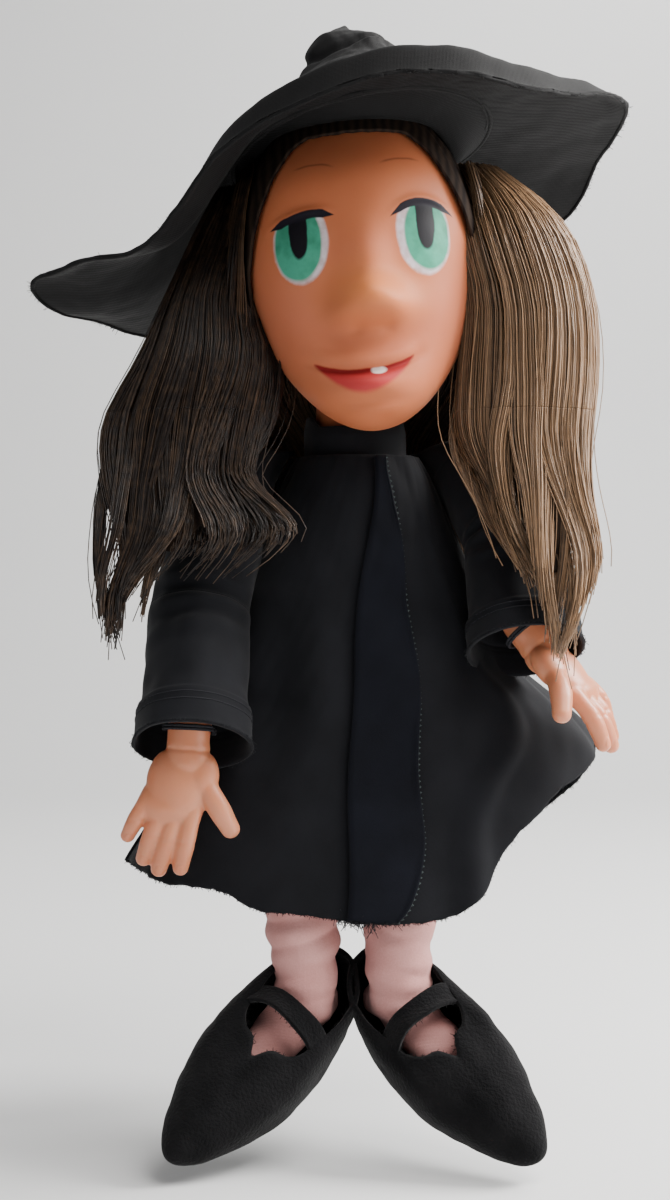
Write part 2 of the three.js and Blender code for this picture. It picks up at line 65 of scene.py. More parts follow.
# ---- driving dimensions, as in the CAD model --------------------------------------------------------
NECK = np.array([0, 2, 182.0])
SHOULDER = {"left": np.array([48, 4, 174.0]), "right": np.array([-50, 0, 170.0])}
ELBOW = {"left": np.array([61, -16, 144.0]), "right": np.array([-60, -22, 117.0])}
WRIST_END = {"left": np.array([64, -38, 103.0]), "right": np.array([-61, -49, 68.0])}
HAND_ROOT = {"left": np.array([64.5, -35, 112.0]), "right": np.array([-62, -48, 76.0])}
HAND_TIP = {"left": np.array([97, -52, 66.0]), "right": np.array([-66, -55, 19.0])}
HAND_ACROSS = {"left": np.array([-0.5, -0.8, 0]), "right": np.array([1.0, 0, 0])}
SLEEVE_R = 20.0
HIP = {"left": np.array([15, -27, 56.0]), "right": np.array([-22, -27, 56.0])}
ANKLE = {"left": np.array([17, -37, -30.0]), "right": np.array([-19, -37, -30.0])}
SHOE_LENGTH = 98.0
SHOE_HALF_WIDTH = 20.0
HEAD_CENTRE = np.array([2.5, -6, 252.0])
HEAD_HALF = np.array([46, 48, 66.0])
HEAD_ROLL = 0.08
HAIR_SPLIT_Z = 194.0
CLOTH = 1.2
# where the coat would start to follow a leg, and where it would follow fully, in metres; nothing here bends
# the coat
LEG_BLEND = ((0, -0.005, 0.060), (0, -0.035, 0.030))


# ---- general helpers --------------------------------------------------------------------------------
def smooth(low, high, x):
    t = np.clip((np.asarray(x, float) - low) / (high - low), 0, 1)
    return t * t * (3 - 2 * t)


def mix(a, b, t):
    return a + (b - a) * t


def hump(x, width, power=2):
    """Bell curve that is 1 at zero; a higher power gives it a flatter top."""
    return np.exp(-((x / width) ** power))


def bell(x, z, cx, cz, rx, rz, power=1.0):
    """Round bump over a plane, 1 at its centre."""
    return np.exp(-((((x - cx) / rx) ** 2 + ((z - cz) / rz) ** 2) ** power))


def turns(count):
    """Angles once round a circle."""
    return np.linspace(0, TAU, count, endpoint=False)


def steps(count):
    """Column of numbers from 0 to 1, for the rows of a grid."""
    return np.linspace(0, 1, count)[:, None]


def loop(line):
    """A ring of points with its first point again at the end."""
    return np.vstack([line, line[:1]])


def toward(polar, azimuth):
    """Unit directions from the angle to straight up and the angle round."""
    flat = np.sin(polar)
    return np.stack([flat * np.cos(azimuth), flat * np.sin(azimuth), np.cos(polar) + 0 * azimuth], -1)


def unit(v):
    return v / np.maximum(np.linalg.norm(v, axis=-1, keepdims=True), 1e-9)


def spline(points, count, closed=False):
    """Catmull-Rom curve through points, as `count` points."""
    p = np.asarray(points, float)
    n = len(p)
    before, after = (p[-1:], p[:2]) if closed else (2 * p[:1] - p[1], 2 * p[-1:] - p[-2])
    ext = np.vstack([before, p, after])
    spans = n if closed else n - 1
    s = np.linspace(0, spans, count, endpoint=not closed)
    i = np.minimum(s.astype(int), spans - 1)
    t = (s - i)[:, None]
    a, b, c, d = ext[i], ext[i + 1], ext[i + 2], ext[i + 3]
    square, cube = 2 * a - 5 * b + 4 * c - d, 3 * b - a - 3 * c + d
    return 0.5 * (2 * b + (c - a) * t + square * t**2 + cube * t**3)


def lookup(stations):
    """Smooth function through a short list of [position, value] stations."""
    dense = spline(stations, 40 * len(stations))
    order = np.argsort(dense[:, 0])
    x, y = dense[order, 0], dense[order, 1]
    return lambda at: np.interp(at, x, y)


def ripple(points, size, seed, octaves=3):
    """Smooth noise between about -1 and 1 with bumps about `size` wide."""
    rng = np.random.default_rng(seed)
    total = np.zeros(points.shape[:-1])
    waves = 7
    for octave in range(octaves):
        for _ in range(waves):
            direction = unit(rng.normal(size=3))
            phase = points @ direction * (TAU * 2**octave / (2.2 * size)) + rng.uniform(0, TAU)
            total += np.sin(phase) / 1.8**octave
    return total / waves * 1.4


def make_mesh(name, vertices, faces, material):
    """Mesh object with smooth four-sided faces; end caps with another number of sides stay flat."""
    mesh = bpy.data.meshes.new(name)
    mesh.from_pydata((np.asarray(vertices).reshape(-1, 3) * MM).tolist(), [], faces)
    mesh.polygons.foreach_set("use_smooth", [len(face) == 4 for face in faces])
    mesh.update()
    mesh.materials.append(material)
    obj = bpy.data.objects.new(name, mesh)
    bpy.context.collection.objects.link(obj)
    return obj


def grid_faces(rows, columns, wrap, start=0, flip=False):
    r = np.arange(rows - 1)[:, None]
    c = np.arange(columns if wrap else columns - 1)[None, :]
    nxt = (c + 1) % columns
    a, b = start + r * columns + c, start + r * columns + nxt
    d, e = start + (r + 1) * columns + c, start + (r + 1) * columns + nxt
    quads = np.stack([a, b, e, d], -1).reshape(-1, 4)
    return (quads[:, ::-1] if flip else quads).tolist()


def closed_faces(rows, around, start=0):
    """Faces of a wrapped grid with both ends shut."""
    last = start + (rows - 1) * around
    ends = [list(range(start, start + around))[::-1], list(range(last, last + around))]
    return grid_faces(rows, around, True, start) + ends


def grid_normals(grid, wrap):
    along = np.gradient(grid, axis=0)
    if wrap:
        across = np.roll(grid, -1, axis=1) - np.roll(grid, 1, axis=1)
    else:
        across = np.gradient(grid, axis=1)
    return unit(np.cross(across, along))


def pushed(grid, wrap, amount):
    """Moves the points of a grid along their normals."""
    return grid + grid_normals(grid, wrap) * amount[..., None]


def sheet(name, grid, material, wrap=False, thickness=CLOTH, inwards=1):
    """A closed wall over a grid of points (rows, columns, 3). `inwards` is the side the wall grows to."""
    rows, columns, _ = grid.shape
    normals = grid_normals(grid, wrap) * inwards
    inner = grid - normals * thickness
    count = rows * columns
    vertices = np.concatenate([grid.reshape(-1, 3), inner.reshape(-1, 3)])
    flip = inwards < 0
    faces = grid_faces(rows, columns, wrap, 0, flip) + grid_faces(rows, columns, wrap, count, not flip)
    top, bottom = np.arange(columns), (rows - 1) * columns + np.arange(columns)
    edges = [(top, False), (bottom, True)]
    if not wrap:
        left, right = np.arange(rows) * columns, np.arange(rows) * columns + columns - 1
        edges += [(left, True), (right, False)]
    for line, turned in edges:
        a, b = line, np.roll(line, -1)
        if not (wrap and len(line) == columns):
            a, b = line[:-1], line[1:]
        quads = np.stack([a, a + count, b + count, b], -1)
        faces += (quads[:, ::-1] if turned != flip else quads).tolist()
    return make_mesh(name, vertices, faces, material)


def sweep(path, radius, sides=6):
    """Closed tubes along paths (strands, points, 3); radius fits (strands, points)."""
    path = np.asarray(path, float)
    if path.ndim == 2:
        path = path[None]
    strands, points, _ = path.shape
    radius = np.broadcast_to(radius, (strands, points))
    tangent = unit(np.gradient(path, axis=1))
    helper = np.where(np.abs(tangent[..., 1:2]) > 0.9, [1.0, 0, 0], [0, 1.0, 0])
    side = unit(np.cross(tangent, helper))
    up = np.cross(side, tangent)
    angle = np.arange(sides) / sides * TAU
    ring = side[..., None, :] * np.cos(angle)[:, None] + up[..., None, :] * np.sin(angle)[:, None]
    vertices = path[..., None, :] + ring * radius[..., None, None]
    base = np.arange(strands)[:, None, None] * points * sides
    r = np.arange(points - 1)[None, :, None] * sides
    c = np.arange(sides)[None, None, :]
    n = (c + 1) % sides
    low, high = base + r, base + r + sides
    quads = np.stack([low + c, low + n, high + n, high + c], -1)
    faces = quads.reshape(-1, 4)[:, ::-1].tolist()
    for strand in range(strands):
        first = strand * points * sides
        last = first + (points - 1) * sides
        faces.append(list(range(first, first + sides)))
        faces.append(list(range(last + sides - 1, last - 1, -1)))
    return vertices.reshape(-1, 3), faces


def recalculate(obj):
    """Turns all faces outwards."""
    bpy.context.view_layer.objects.active = obj
    bpy.ops.object.select_all(action="DESELECT")
    obj.select_set(True)
    bpy.ops.object.mode_set(mode="EDIT")
    bpy.ops.mesh.select_all(action="SELECT")
    bpy.ops.mesh.normals_make_consistent(inside=False)
    bpy.ops.object.mode_set(mode="OBJECT")


def closed_grid(name, grid, material):
    """A wrapped grid as a solid with flat ends."""
    obj = make_mesh(name, grid, closed_faces(*grid.shape[:2]), material)
    recalculate(obj)
    return obj


def tubes(name, path, radius, material, sides=6):
    return make_mesh(name, *sweep(path, radius, sides), material)


def join(name, pieces):
    """Joins objects into one and gives it a name."""
    bpy.ops.object.select_all(action="DESELECT")
    for piece in pieces:
        piece.select_set(True)
    bpy.context.view_layer.objects.active = pieces[0]
    bpy.ops.object.join()
    pieces[0].name = name
    pieces[0].data.name = name
    return pieces[0]


def apply_modifiers(obj):
    depsgraph = bpy.context.evaluated_depsgraph_get()
    mesh = bpy.data.meshes.new_from_object(obj.evaluated_get(depsgraph))
    old = obj.data
    obj.modifiers.clear()
    obj.data = mesh
    mesh.name = obj.name
    bpy.data.meshes.remove(old)
    return obj


def boolean(obj, other, operation):
    modifier = obj.modifiers.new("cut", "BOOLEAN")
    modifier.operation = operation
    modifier.solver = "EXACT"
    modifier.object = other
    apply_modifiers(obj)
    bpy.data.objects.remove(other)
    return obj


def rings_along(path, radius_side, radius_front, around):
    """Rings of points round a path: radii fit (points,) or (points, around)."""
    tangent = unit(np.gradient(path, axis=0))
    side = unit(np.array([1.0, 0, 0]) - tangent * tangent[:, :1])
    front = np.cross(tangent, side)
    angle = np.arange(around) / around * TAU
    rs = np.asarray(radius_side, float).reshape(len(path), -1)
    rf = np.asarray(radius_front, float).reshape(len(path), -1)
    return (
        path[:, None]
        + side[:, None] * (rs * np.cos(angle))[..., None]
        + front[:, None] * (rf * np.sin(angle))[..., None]
    )


def finish(obj, body, *nodes, slot, blend=None):
    """Hands a piece to the frame: it rides on a body, or, when `blend` is given, keeps its place in the
    world and rides on none.

    `blend` is the other body and the two points, in metres, between which the piece would bend; its values
    are not used, only whether it is given.
    """
    if blend:
        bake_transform(obj)
    else:
        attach(obj, body)
    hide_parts(*nodes)


# ---- material helpers -------------------------------------------------------------------------------
class Value:
    """A number inside a shader: arithmetic on it adds Math nodes."""

    def __init__(self, nodes, socket):
        self.nodes = nodes
        self.socket = socket

    def __add__(self, other):
        return self.nodes.math("ADD", self, other)

    def __sub__(self, other):
        return self.nodes.math("SUBTRACT", self, other)

    def __rsub__(self, other):
        return self.nodes.math("SUBTRACT", other, self)

    def __mul__(self, other):
        return self.nodes.math("MULTIPLY", self, other)

    def __truediv__(self, other):
        return self.nodes.math("DIVIDE", self, other)

    def __pow__(self, other):
        return self.nodes.math("POWER", self, other)

    def __abs__(self):
        return self.nodes.math("ABSOLUTE", self)


class Nodes:
    """A material whose shader nodes are written as formulas."""

    def __init__(self, name):
        self.material = bpy.data.materials.new(name)
        self.material.use_nodes = True
        self.tree = self.material.node_tree
        self.shader = next(n for n in self.tree.nodes if n.type == "BSDF_PRINCIPLED")

    def node(self, kind, **values):
        node = self.tree.nodes.new(kind)
        for key, value in values.items():
            setattr(node, key, value)
        return node

    def value(self, socket):
        return Value(self, socket)

    def feed(self, socket, value):
        if isinstance(value, Value):
            value = value.socket
        if isinstance(value, bpy.types.NodeSocket):
            self.tree.links.new(value, socket)
        elif value is not None:
            socket.default_value = value

    def math(self, operation, a, b=None, clamp=False):
        node = self.node("ShaderNodeMath", operation=operation, use_clamp=clamp)
        self.feed(node.inputs[0], a)
        self.feed(node.inputs[1], b)
        return self.value(node.outputs[0])

    def mix(self, factor, a, b):
        node = self.node("ShaderNodeMix", data_type="RGBA")
        self.feed(node.inputs["Factor"], factor)
        self.feed(node.inputs[6], a)
        self.feed(node.inputs[7], b)
        return node.outputs[2]

    def position(self):
        return self.node("ShaderNodeTexCoord").outputs["Object"]

    def noise(self, scale, detail=3):
        node = self.node("ShaderNodeTexNoise")
        self.feed(node.inputs["Vector"], self.position())
        node.inputs["Scale"].default_value = scale
        node.inputs["Detail"].default_value = detail
        return self.value(node.outputs["Fac"])

    def wave(self, scale, direction, distortion):
        node = self.node("ShaderNodeTexWave", bands_direction=direction)
        self.feed(node.inputs["Vector"], self.position())
        node.inputs["Scale"].default_value = scale
        node.inputs["Distortion"].default_value = distortion
        return self.value(node.outputs["Fac"])

    def ramp(self, value, low, high):
        """0 at low and 1 at high, clamped."""
        node = self.node("ShaderNodeMapRange")
        self.feed(node.inputs["Value"], value)
        node.inputs["From Min"].default_value = low
        node.inputs["From Max"].default_value = high
        return self.value(node.outputs["Result"])

    def bump(self, height, strength, distance=0.001):
        node = self.node("ShaderNodeBump")
        node.inputs["Strength"].default_value = strength
        node.inputs["Distance"].default_value = distance
        self.feed(node.inputs["Height"], height)
        self.feed(self.shader.inputs["Normal"], node.outputs["Normal"])

    def set(self, **values):
        """Sets or feeds sockets of the shader and returns the material."""
        for key, value in values.items():
            self.feed(self.shader.inputs[key.replace("_", " ")], value)
        return self.material


def rgb(r, g, b):
    return (r, g, b, 1.0)


def weave(n, threads_per_mm, depth, blotch=40):
    """Fine knit or weave: two crossed waves and a little noise, as bump height and colour factor."""
    scale = threads_per_mm * 1000 / 6.283 * 2
    cloth = n.wave(scale, "X", distortion=0.6) * n.wave(scale, "Z", distortion=0.6)
    fluff = n.noise(1800, 2)
    n.bump(cloth + fluff * 0.8, depth)
    return n.noise(blotch, 4) * 0.7 + fluff * 0.3


def cloth_material(name, threads, depth, dark, light, low=0.35, high=0.75, blotch=40, **sockets):
    """Woven cloth in two shades; `sockets` names further sockets of the shader."""
    n = Nodes(name)
    shade = n.ramp(weave(n, threads, depth, blotch), low, high)
    return n.set(Base_Color=n.mix(shade, rgb(*dark), rgb(*light)), **sockets)


def surface(roughness, specular, sheen=None, sheen_roughness=0.5):
    """Sockets of the shader that set how a surface shines."""
    values = {"Roughness": roughness, "Specular_IOR_Level": specular}
    if sheen:
        values |= {"Sheen_Weight": sheen, "Sheen_Roughness": sheen_roughness}
    return values


def felt_material():
    n = Nodes("shoe_felt")
    n.bump(n.noise(900, 5), 0.6)
    shade = n.ramp(n.noise(60, 5), 0.35, 0.75)
    colour = n.mix(shade, rgb(0.0025, 0.0025, 0.003), rgb(0.0085, 0.0082, 0.009))
    return n.set(Base_Color=colour, **surface(0.95, 0.1, 0.06))


def thread_material(name, dark, light):
    n = Nodes(name)
    twist = n.wave(900, "DIAGONAL", distortion=1.0)
    n.bump(twist, 0.4)
    return n.set(Base_Color=n.mix(twist, dark, light), **surface(0.8, 0.2))


def card_material():
    n = Nodes("card")
    fibre = n.noise(700, 4)
    spiral = n.wave(120, "DIAGONAL", distortion=0.3)
    n.bump(fibre + n.ramp(spiral, 0.96, 1.0), 0.2)
    return n.set(Base_Color=n.mix(fibre, rgb(0.30, 0.22, 0.13), rgb(0.46, 0.35, 0.22)), Roughness=0.8)


def hair_material():
    """Strands take their colour, from dark to fair, from the attribute `strand`. It holds each lock's
    painted light or painted shade, plus a random tone per strand and clump.
    """
    n = Nodes("hair")
    strand = n.value(n.node("ShaderNodeAttribute", attribute_name="strand").outputs["Fac"])
    factor = n.math("ADD", strand * 0.9, (n.noise(300, 2) - 0.5) * 0.35, clamp=True)
    colour = n.mix(factor, rgb(0.011, 0.0065, 0.005), rgb(0.34, 0.198, 0.105))
    return n.set(Base_Color=colour, **surface(0.36, 0.5))


# painted shade: a near-black hair colour for the insides of the locks and the wig cap, standing in for hair
# in shade
def shaded_hair_material():
    n = Nodes("hair_core")
    streak = n.wave(90, "X", distortion=4.0)
    colour = n.mix(streak, rgb(0.010, 0.006, 0.005), rgb(0.030, 0.019, 0.013))
    return n.set(Base_Color=colour, **surface(0.8, 0.1))


# cloths: name, threads a mm, bump, dark and light shade
COAT = cloth_material(
    "coat_cloth", 2.6, 0.16, (0.0028, 0.0031, 0.0046), (0.0085, 0.0090, 0.0120),
    **surface(0.85, 0.18, 0.05),
)
FACING = cloth_material(
    "facing_cloth", 2.6, 0.16, (0.0022, 0.0026, 0.0048), (0.0058, 0.0068, 0.0118),
    **surface(0.9, 0.14, 0.02),
)
HAT = cloth_material(
    "hat_cloth", 2.0, 0.25, (0.0030, 0.0029, 0.0032), (0.0085, 0.0082, 0.0086),
    low=0.3, blotch=25, **surface(0.75, 0.18, 0.04, 0.4),
)
FELT = felt_material()
PINK = cloth_material(
    "leg_cloth", 2.2, 0.3, (0.50, 0.22, 0.20), (0.68, 0.36, 0.335),
    low=0.3, blotch=55, **surface(0.85, 0.2, 0.1, 0.4),
)
LINING = cloth_material(
    "lining", 1.4, 0.4, (0.010, 0.010, 0.012), (0.022, 0.022, 0.026),
    low=0.3, high=0.8, Roughness=0.9,
)
BLACK_THREAD = thread_material("black_thread", rgb(0.008, 0.008, 0.010), rgb(0.035, 0.035, 0.042))
GREY_THREAD = thread_material("edge_thread", rgb(0.020, 0.028, 0.028), rgb(0.095, 0.12, 0.118))
CARD = card_material()
HAIR = hair_material()
SHADED_HAIR = shaded_hair_material()


# ---- camera, light and stage ------------------------------------------------------------------------
def place(name, data, location, target):
    """Puts a camera or lamp somewhere and points it at a target."""
    obj = bpy.data.objects.new(name, data)
    bpy.context.collection.objects.link(obj)
    obj.location = location
    direction = Vector(target) - obj.location
    obj.rotation_euler = direction.to_track_quat("-Z", "Y").to_euler()
    return obj


def make_camera():
    data = bpy.data.cameras.new("camera")
    data.lens = 52.6
    data.clip_start = 0.01
    middle, height, distance = -0.008, 0.122, 0.70
    camera = place("camera", data, (middle, -distance, height), (middle, 0, height))
    bpy.context.scene.camera = camera


def make_stage():
    """Pale floor that sweeps up into a backdrop."""
    floor_z, back_y, sweep_r, reach = -88.0, 1700.0, 500.0, 3000.0
    arc = np.linspace(0, math.pi / 2, 24)
    profile = [(-reach, floor_z)]
    profile += zip(back_y - sweep_r + sweep_r * np.sin(arc), floor_z + sweep_r * (1 - np.cos(arc)))
    profile += [(back_y, reach)]
    across = np.linspace(-reach, reach, 3)
    grid = np.array([[(x, y, z) for x in across] for y, z in profile])
    n = Nodes("backdrop")
    n.bump(n.noise(9, 3), 0.05, 0.01)
    material = n.set(Base_Color=rgb(0.80, 0.80, 0.80), Roughness=0.9)
    make_mesh("backdrop", grid, grid_faces(len(profile), 3, False), material)


# name, place, target, size and power of each lamp, and its colour
LAMPS = [
    ("window", (0.95, 0.05, 0.75), (0, 0, 0.16), 0.6, 34, (1.0, 0.99, 0.97)),
    ("front_window", (0.40, -0.45, 1.0), (0, 0, 0.12), 0.7, 13, (1.0, 0.985, 0.96)),
    ("wall_wash", (0.75, 0.9, 1.5), (0.2, 1.7, 0.3), 1.0, 26, (1.0, 0.99, 0.97)),
    ("side_bounce", (0.65, -0.35, 0.02), (0.08, -0.03, 0.24), 0.4, 1.6, (1.0, 0.97, 0.93)),
    ("fill", (-0.7, -0.8, 0.25), (0, 0, 0.10), 1.0, 1.3, (0.97, 0.98, 1.0)),
]


def make_lights():
    for name, location, target, size, power, colour in LAMPS:
        data = bpy.data.lights.new(name, "AREA")
        data.size = size
        data.energy = power
        data.color = colour
        place(name, data, location, target)
    world = bpy.data.worlds.new("world")
    world.use_nodes = True
    sky = world.node_tree.nodes["Background"].inputs
    sky["Color"].default_value = (0.95, 0.97, 1.0, 1)
    sky["Strength"].default_value = 0.18
    bpy.context.scene.world = world


make_camera()
make_lights()
make_stage()


# ---- coat -------------------------------------------------------------------------------------------
COAT_TOP = 178.0
# half widths and depths of the coat by height
coat_left_at = lookup(
    [[-20, 102], [15, 101], [64, 97], [98, 62], [130, 47], [152, 37], [172, 28], [186, 19]]
)
coat_right_at = lookup(
    [[-20, 99], [-7, 98], [17, 92], [60, 65], [100, 52], [130, 43], [152, 36], [172, 28], [186, 19]]
)
coat_front_at = lookup(
    [[-20, 55], [-7, 54], [20, 50], [60, 42], [100, 35], [130, 31], [152, 28], [172, 24], [186, 18]]
)
coat_back_at = lookup([[-20, 49], [-7, 48], [60, 41], [100, 35], [152, 28], [172, 25], [186, 19]])
# height of the hem by the angle round the coat, from the puppet's left over the front
hem_at = lookup([
    [-45, 32], [0, 65], [37, 51], [48, 41], [54, 34], [59, 24], [64, 12], [70, 5], [78, 3], [90, 3],
    [100, 5], [113, 7], [122, 11], [135, 14], [150, 17], [180, 18], [225, 8], [270, 6], [315, 32],
    [360, 65], [397, 51],
])
# the upper front panel is folded outwards: x of the fold and of its raw edge by height
fold_x_at = lookup([[-8, -3.5], [30, -2.5], [90, -1], [130, 2.5], [165, 7.5], [186, 7.5]])
raw_edge_x_at = lookup([
    [-8, 6], [0, 12], [10, 20], [30, 25], [58, 23], [90, 24], [120, 19], [142, 17.5], [162, 13.5],
    [174, 11], [186, 11],
])
# soft ridges that fan out downwards: angle, drift of the angle, width and height
RIDGES = [(65, -20, 4, 4.2), (110, -4, 9, 2.6), (143, 8, 10, 3.0), (20, 6, 8, 2.8)]
# creases across the coat: height, width and how far they stand out
CREASES = [(82, 5, -1.1), (124, 4, 0.8), (40, 4, 0.7)]


def coat_folds(degrees, z):
    """Height of the folds above the plain coat."""
    loose = 1 - smooth(60, COAT_TOP, z)
    low = np.clip((COAT_TOP - z) / COAT_TOP, 0, 1)
    lines = np.stack([degrees / 9.0, z / 70.0, np.full_like(z, 3.0)], -1)
    fold = 3.2 * loose * ripple(lines, 2.6, 11, 2)
    for centre, drift, width, height in RIDGES:
        fold = fold + height * low * hump(degrees - centre - drift * smooth(36, 90, z), width)
    for centre, width, height in CREASES:
        across = hump(z - centre, width)
        fold = fold + height * across * smooth(95, 120, degrees) * (1 - smooth(150, 175, degrees))
    wrinkles = np.stack([degrees / 5.0, z / 9.0, np.full_like(z, 1.0)], -1)
    return fold + 0.55 * ripple(wrinkles, 2.2, 12, 3)


def coat_surface(degrees, z, inset=0.0):
    a = np.radians(degrees)
    side = smooth(-0.12, 0.12, np.cos(a))
    front = smooth(-0.12, 0.12, np.sin(a))
    half_width = mix(coat_right_at(z), coat_left_at(z), side)
    half_depth = mix(coat_back_at(z), coat_front_at(z), front)
    out = coat_folds(degrees % 360, z) * (0.35 + 0.65 * smooth(0, 0.3, np.abs(np.sin(a)))) - inset
    x = (half_width + out) * np.cos(a)
    y = -(half_depth + out) * np.sin(a)
    return np.stack([x, y, z * np.ones_like(x)], -1)


def degrees_at(x, z):
    """Angle round the coat of a place on its front, by distance from the middle."""
    half_width = mix(coat_right_at(z), coat_left_at(z), smooth(-4, 4, x))
    return np.degrees(np.arccos(np.clip(x / half_width, -1, 1)))


def fold_line(z):
    return degrees_at(fold_x_at(z) + 0.6 * np.sin(z / 11.0), z)


def raw_edge(degrees, seed):
    """Small steps of a cut cloth edge."""
    line = np.stack([degrees, np.zeros_like(degrees), np.zeros_like(degrees)], -1)
    return 0.7 * ripple(line, 8, seed, 2) + 0.35 * ripple(line, 1.2, seed + 1, 2)


def coat_grid(start, end, columns, rows, inset=0.0, top=COAT_TOP):
    """Grid from the hem up; start and end are angles, or functions of height."""
    u, v = steps(columns).T, steps(rows)
    z = np.broadcast_to(v * top, (rows, columns))
    for _ in range(3):
        first = start(z) if callable(start) else start
        last = end(z) if callable(end) else end
        degrees = mix(first, last, u) * np.ones_like(z)
        hem = hem_at(degrees) + raw_edge(degrees, 21)
        z = mix(hem, top, v)
    return coat_surface(degrees, z, inset)


def edge_fibres(line, outward, count, length, radius, seed, material, name, spread=0.8):
    """Loose short threads along an edge line."""
    rng = np.random.default_rng(seed)
    pick = rng.uniform(0, len(line) - 1.001, count)
    i = pick.astype(int)
    f = (pick - i)[:, None]
    root = line[i] * (1 - f) + line[i + 1] * f
    away = outward[i] if outward.ndim == 2 else np.broadcast_to(outward, root.shape)
    direction = unit(away + spread * rng.normal(size=root.shape))
    bend = rng.normal(size=root.shape) * 0.35
    reach = length * rng.uniform(0.3, 1.0, count)[:, None]
    along = np.linspace(0, 1, 4)[None, :, None]
    grown = (direction[:, None] * along + bend[:, None] * along**2) * reach[:, None]
    return tubes(name, root[:, None] - away[:, None] * 0.4 + grown, radius, material, sides=3)


def overlock(line, inwards, outwards, pitch, width, radius, material, name):
    """Zigzag thread over a cloth edge: line runs along the edge."""
    lengths = np.concatenate([[0], np.cumsum(np.linalg.norm(np.diff(line, axis=0), axis=1))])
    stitches = int(lengths[-1] / pitch)
    per = 6
    s = np.linspace(0, lengths[-1], stitches * per + 1)
    base, into, out = (
        np.stack([np.interp(s, lengths, column) for column in values.T], -1)
        for values in (line, inwards, outwards)
    )
    phase = np.arange(len(s)) / per * TAU
    reach = (0.5 - 0.5 * np.cos(phase)) * width
    lift = 0.55 * np.sin(phase / 2) ** 2 + 0.35
    thread = base + unit(into) * reach[:, None] + unit(out) * lift[:, None]
    return tubes(name, thread, radius, material, sides=5)


# panel: the leg it would follow (nothing here makes it follow), start and end angle (or their function of
# height), inset, columns, flat size
PANELS = {
    "coat_front_right": ("right", lambda z: degrees_at(8.0, z), 180.0, 2.0, 110, (0.110, 0.175)),
    "coat_front_left": ("left", 0.0, fold_line, 0.0, 130, (0.105, 0.165)),
    "coat_back_right": ("right", 180.0, 270.0, 0.0, 80, (0.095, 0.185)),
    "coat_back_left": ("left", 270.0, 360.0, 0.0, 80, (0.095, 0.170)),
}


def make_coat():
    for seed, (name, (side, start, end, inset, columns, flat)) in enumerate(PANELS.items()):
        grid = coat_grid(start, end, columns, 130, inset)
        hem = grid[0]
        parts = [sheet(name, grid, COAT)]
        parts.append(edge_fibres(hem, -UP, 1100, 1.25, 0.13, 30 + seed, COAT, "fibres"))
        if name == "coat_front_right":
            parts.append(edge_fibres(hem[:12], -UP, 90, 5.0, 0.16, 44, BLACK_THREAD, "notch_threads"))
        panel = join(name + "_cloth", parts)
        node = name if "front" in name else "coat_back"
        finish(panel, "glove", node, slot="coat_cloth", blend=(side + "_leg", *LEG_BLEND))


def make_facing():
    """The front edge turned outwards: from the fold to an overlocked raw edge."""
    rows, columns = 170, 34
    u, v = steps(columns).T, steps(rows)
    z = np.broadcast_to(v * COAT_TOP, (rows, columns))
    for _ in range(3):
        degrees = mix(degrees_at(raw_edge_x_at(z), z), fold_line(z), u)
        z = mix(hem_at(degrees) + 0.6 + raw_edge(degrees, 61), COAT_TOP - 0.5, v)
    curl = 0.9 * hump(u, 0.06) * (0.5 + 0.5 * np.sin(z / 8.0))
    lift = 1.6 + curl - 0.7 * smooth(0.93, 1.0, u)
    grid = coat_surface(degrees, z, -lift)
    facing = sheet("facing", grid, FACING, thickness=1.1)
    edge = grid[::-1, 0]
    inwards = grid[::-1, 3] - edge
    normals = grid_normals(grid, False)
    line = edge - unit(inwards) * 0.3
    stitches = overlock(line, inwards, normals[::-1, 0], 2.1, 3.0, 0.36, GREY_THREAD, "overlock")
    seam = tubes("seam", grid[2:-2:2, 4] + normals[2:-2:2, 4] * 0.2, 0.25, BLACK_THREAD, sides=5)
    frayed = edge_fibres(grid[0], -UP, 90, 2.4, 0.12, 62, COAT, "fibres")
    facing = join("facing_cloth", [facing, stitches, seam, frayed])
    finish(facing, "glove", "front_facing", slot="coat_cloth", blend=("left_leg", *LEG_BLEND))


make_facing()
make_coat()


# ---- glove, collar, ties and hip tape ---------------------------------------------------------------
glove_width_at = lookup(
    [[-3, 38], [12, 41], [40, 44], [90, 41], [130, 33], [150, 26], [164, 22], [176, 17.4]]
)
glove_depth_at = lookup([[-3, 20], [40, 22], [90, 24], [130, 24], [150, 22], [164, 20], [176, 17.4]])
GLOVE_Y = 8.0
GLOVE_TOP = 176
ARM_HOLE_R = 11
COLLAR_R = 20.4
FINGER_TUBE_R = 12.2
TIE_TURNS = 2


def ring_grid(radius_at, z, around, centre_y):
    """Grid round the vertical axis; radius_at(angle, z) gives half width and half depth."""
    angle = turns(around)[None, :]
    height = z[:, None]
    half_width, half_depth = radius_at(angle, height)
    x = half_width * np.cos(angle) + 0 * height
    y = centre_y + half_depth * np.sin(angle) + 0 * height
    return np.stack([x, y, height + 0 * x], -1)


def rod(a, b, radius, around=32):
    rings = rings_along(np.array([a, b], float), [radius, radius], [radius, radius], around)
    return closed_grid("rod", rings, COAT)


def make_glove():
    z = np.linspace(-3, GLOVE_TOP, 120)
    centre_y = mix(GLOVE_Y, NECK[1], smooth(60, 150, z))[:, None]
    grid = ring_grid(lambda a, h: (glove_width_at(h), glove_depth_at(h)), z, 96, centre_y)
    grid = pushed(grid, True, 0.7 * ripple(grid * [1, 1, 0.5], 14, 50, 2) - 0.7)
    glove = sheet("glove_lining", grid, LINING, wrap=True, thickness=1.0)
    recalculate(glove)
    for side in SIDES:
        s = SHOULDER[side]
        height = s[2] - 22
        boolean(glove, rod([0, 0, height], [s[0] * 1.1, s[1], height], ARM_HOLE_R), "DIFFERENCE")
    finish(glove, "glove", "inner_glove", slot="lining")


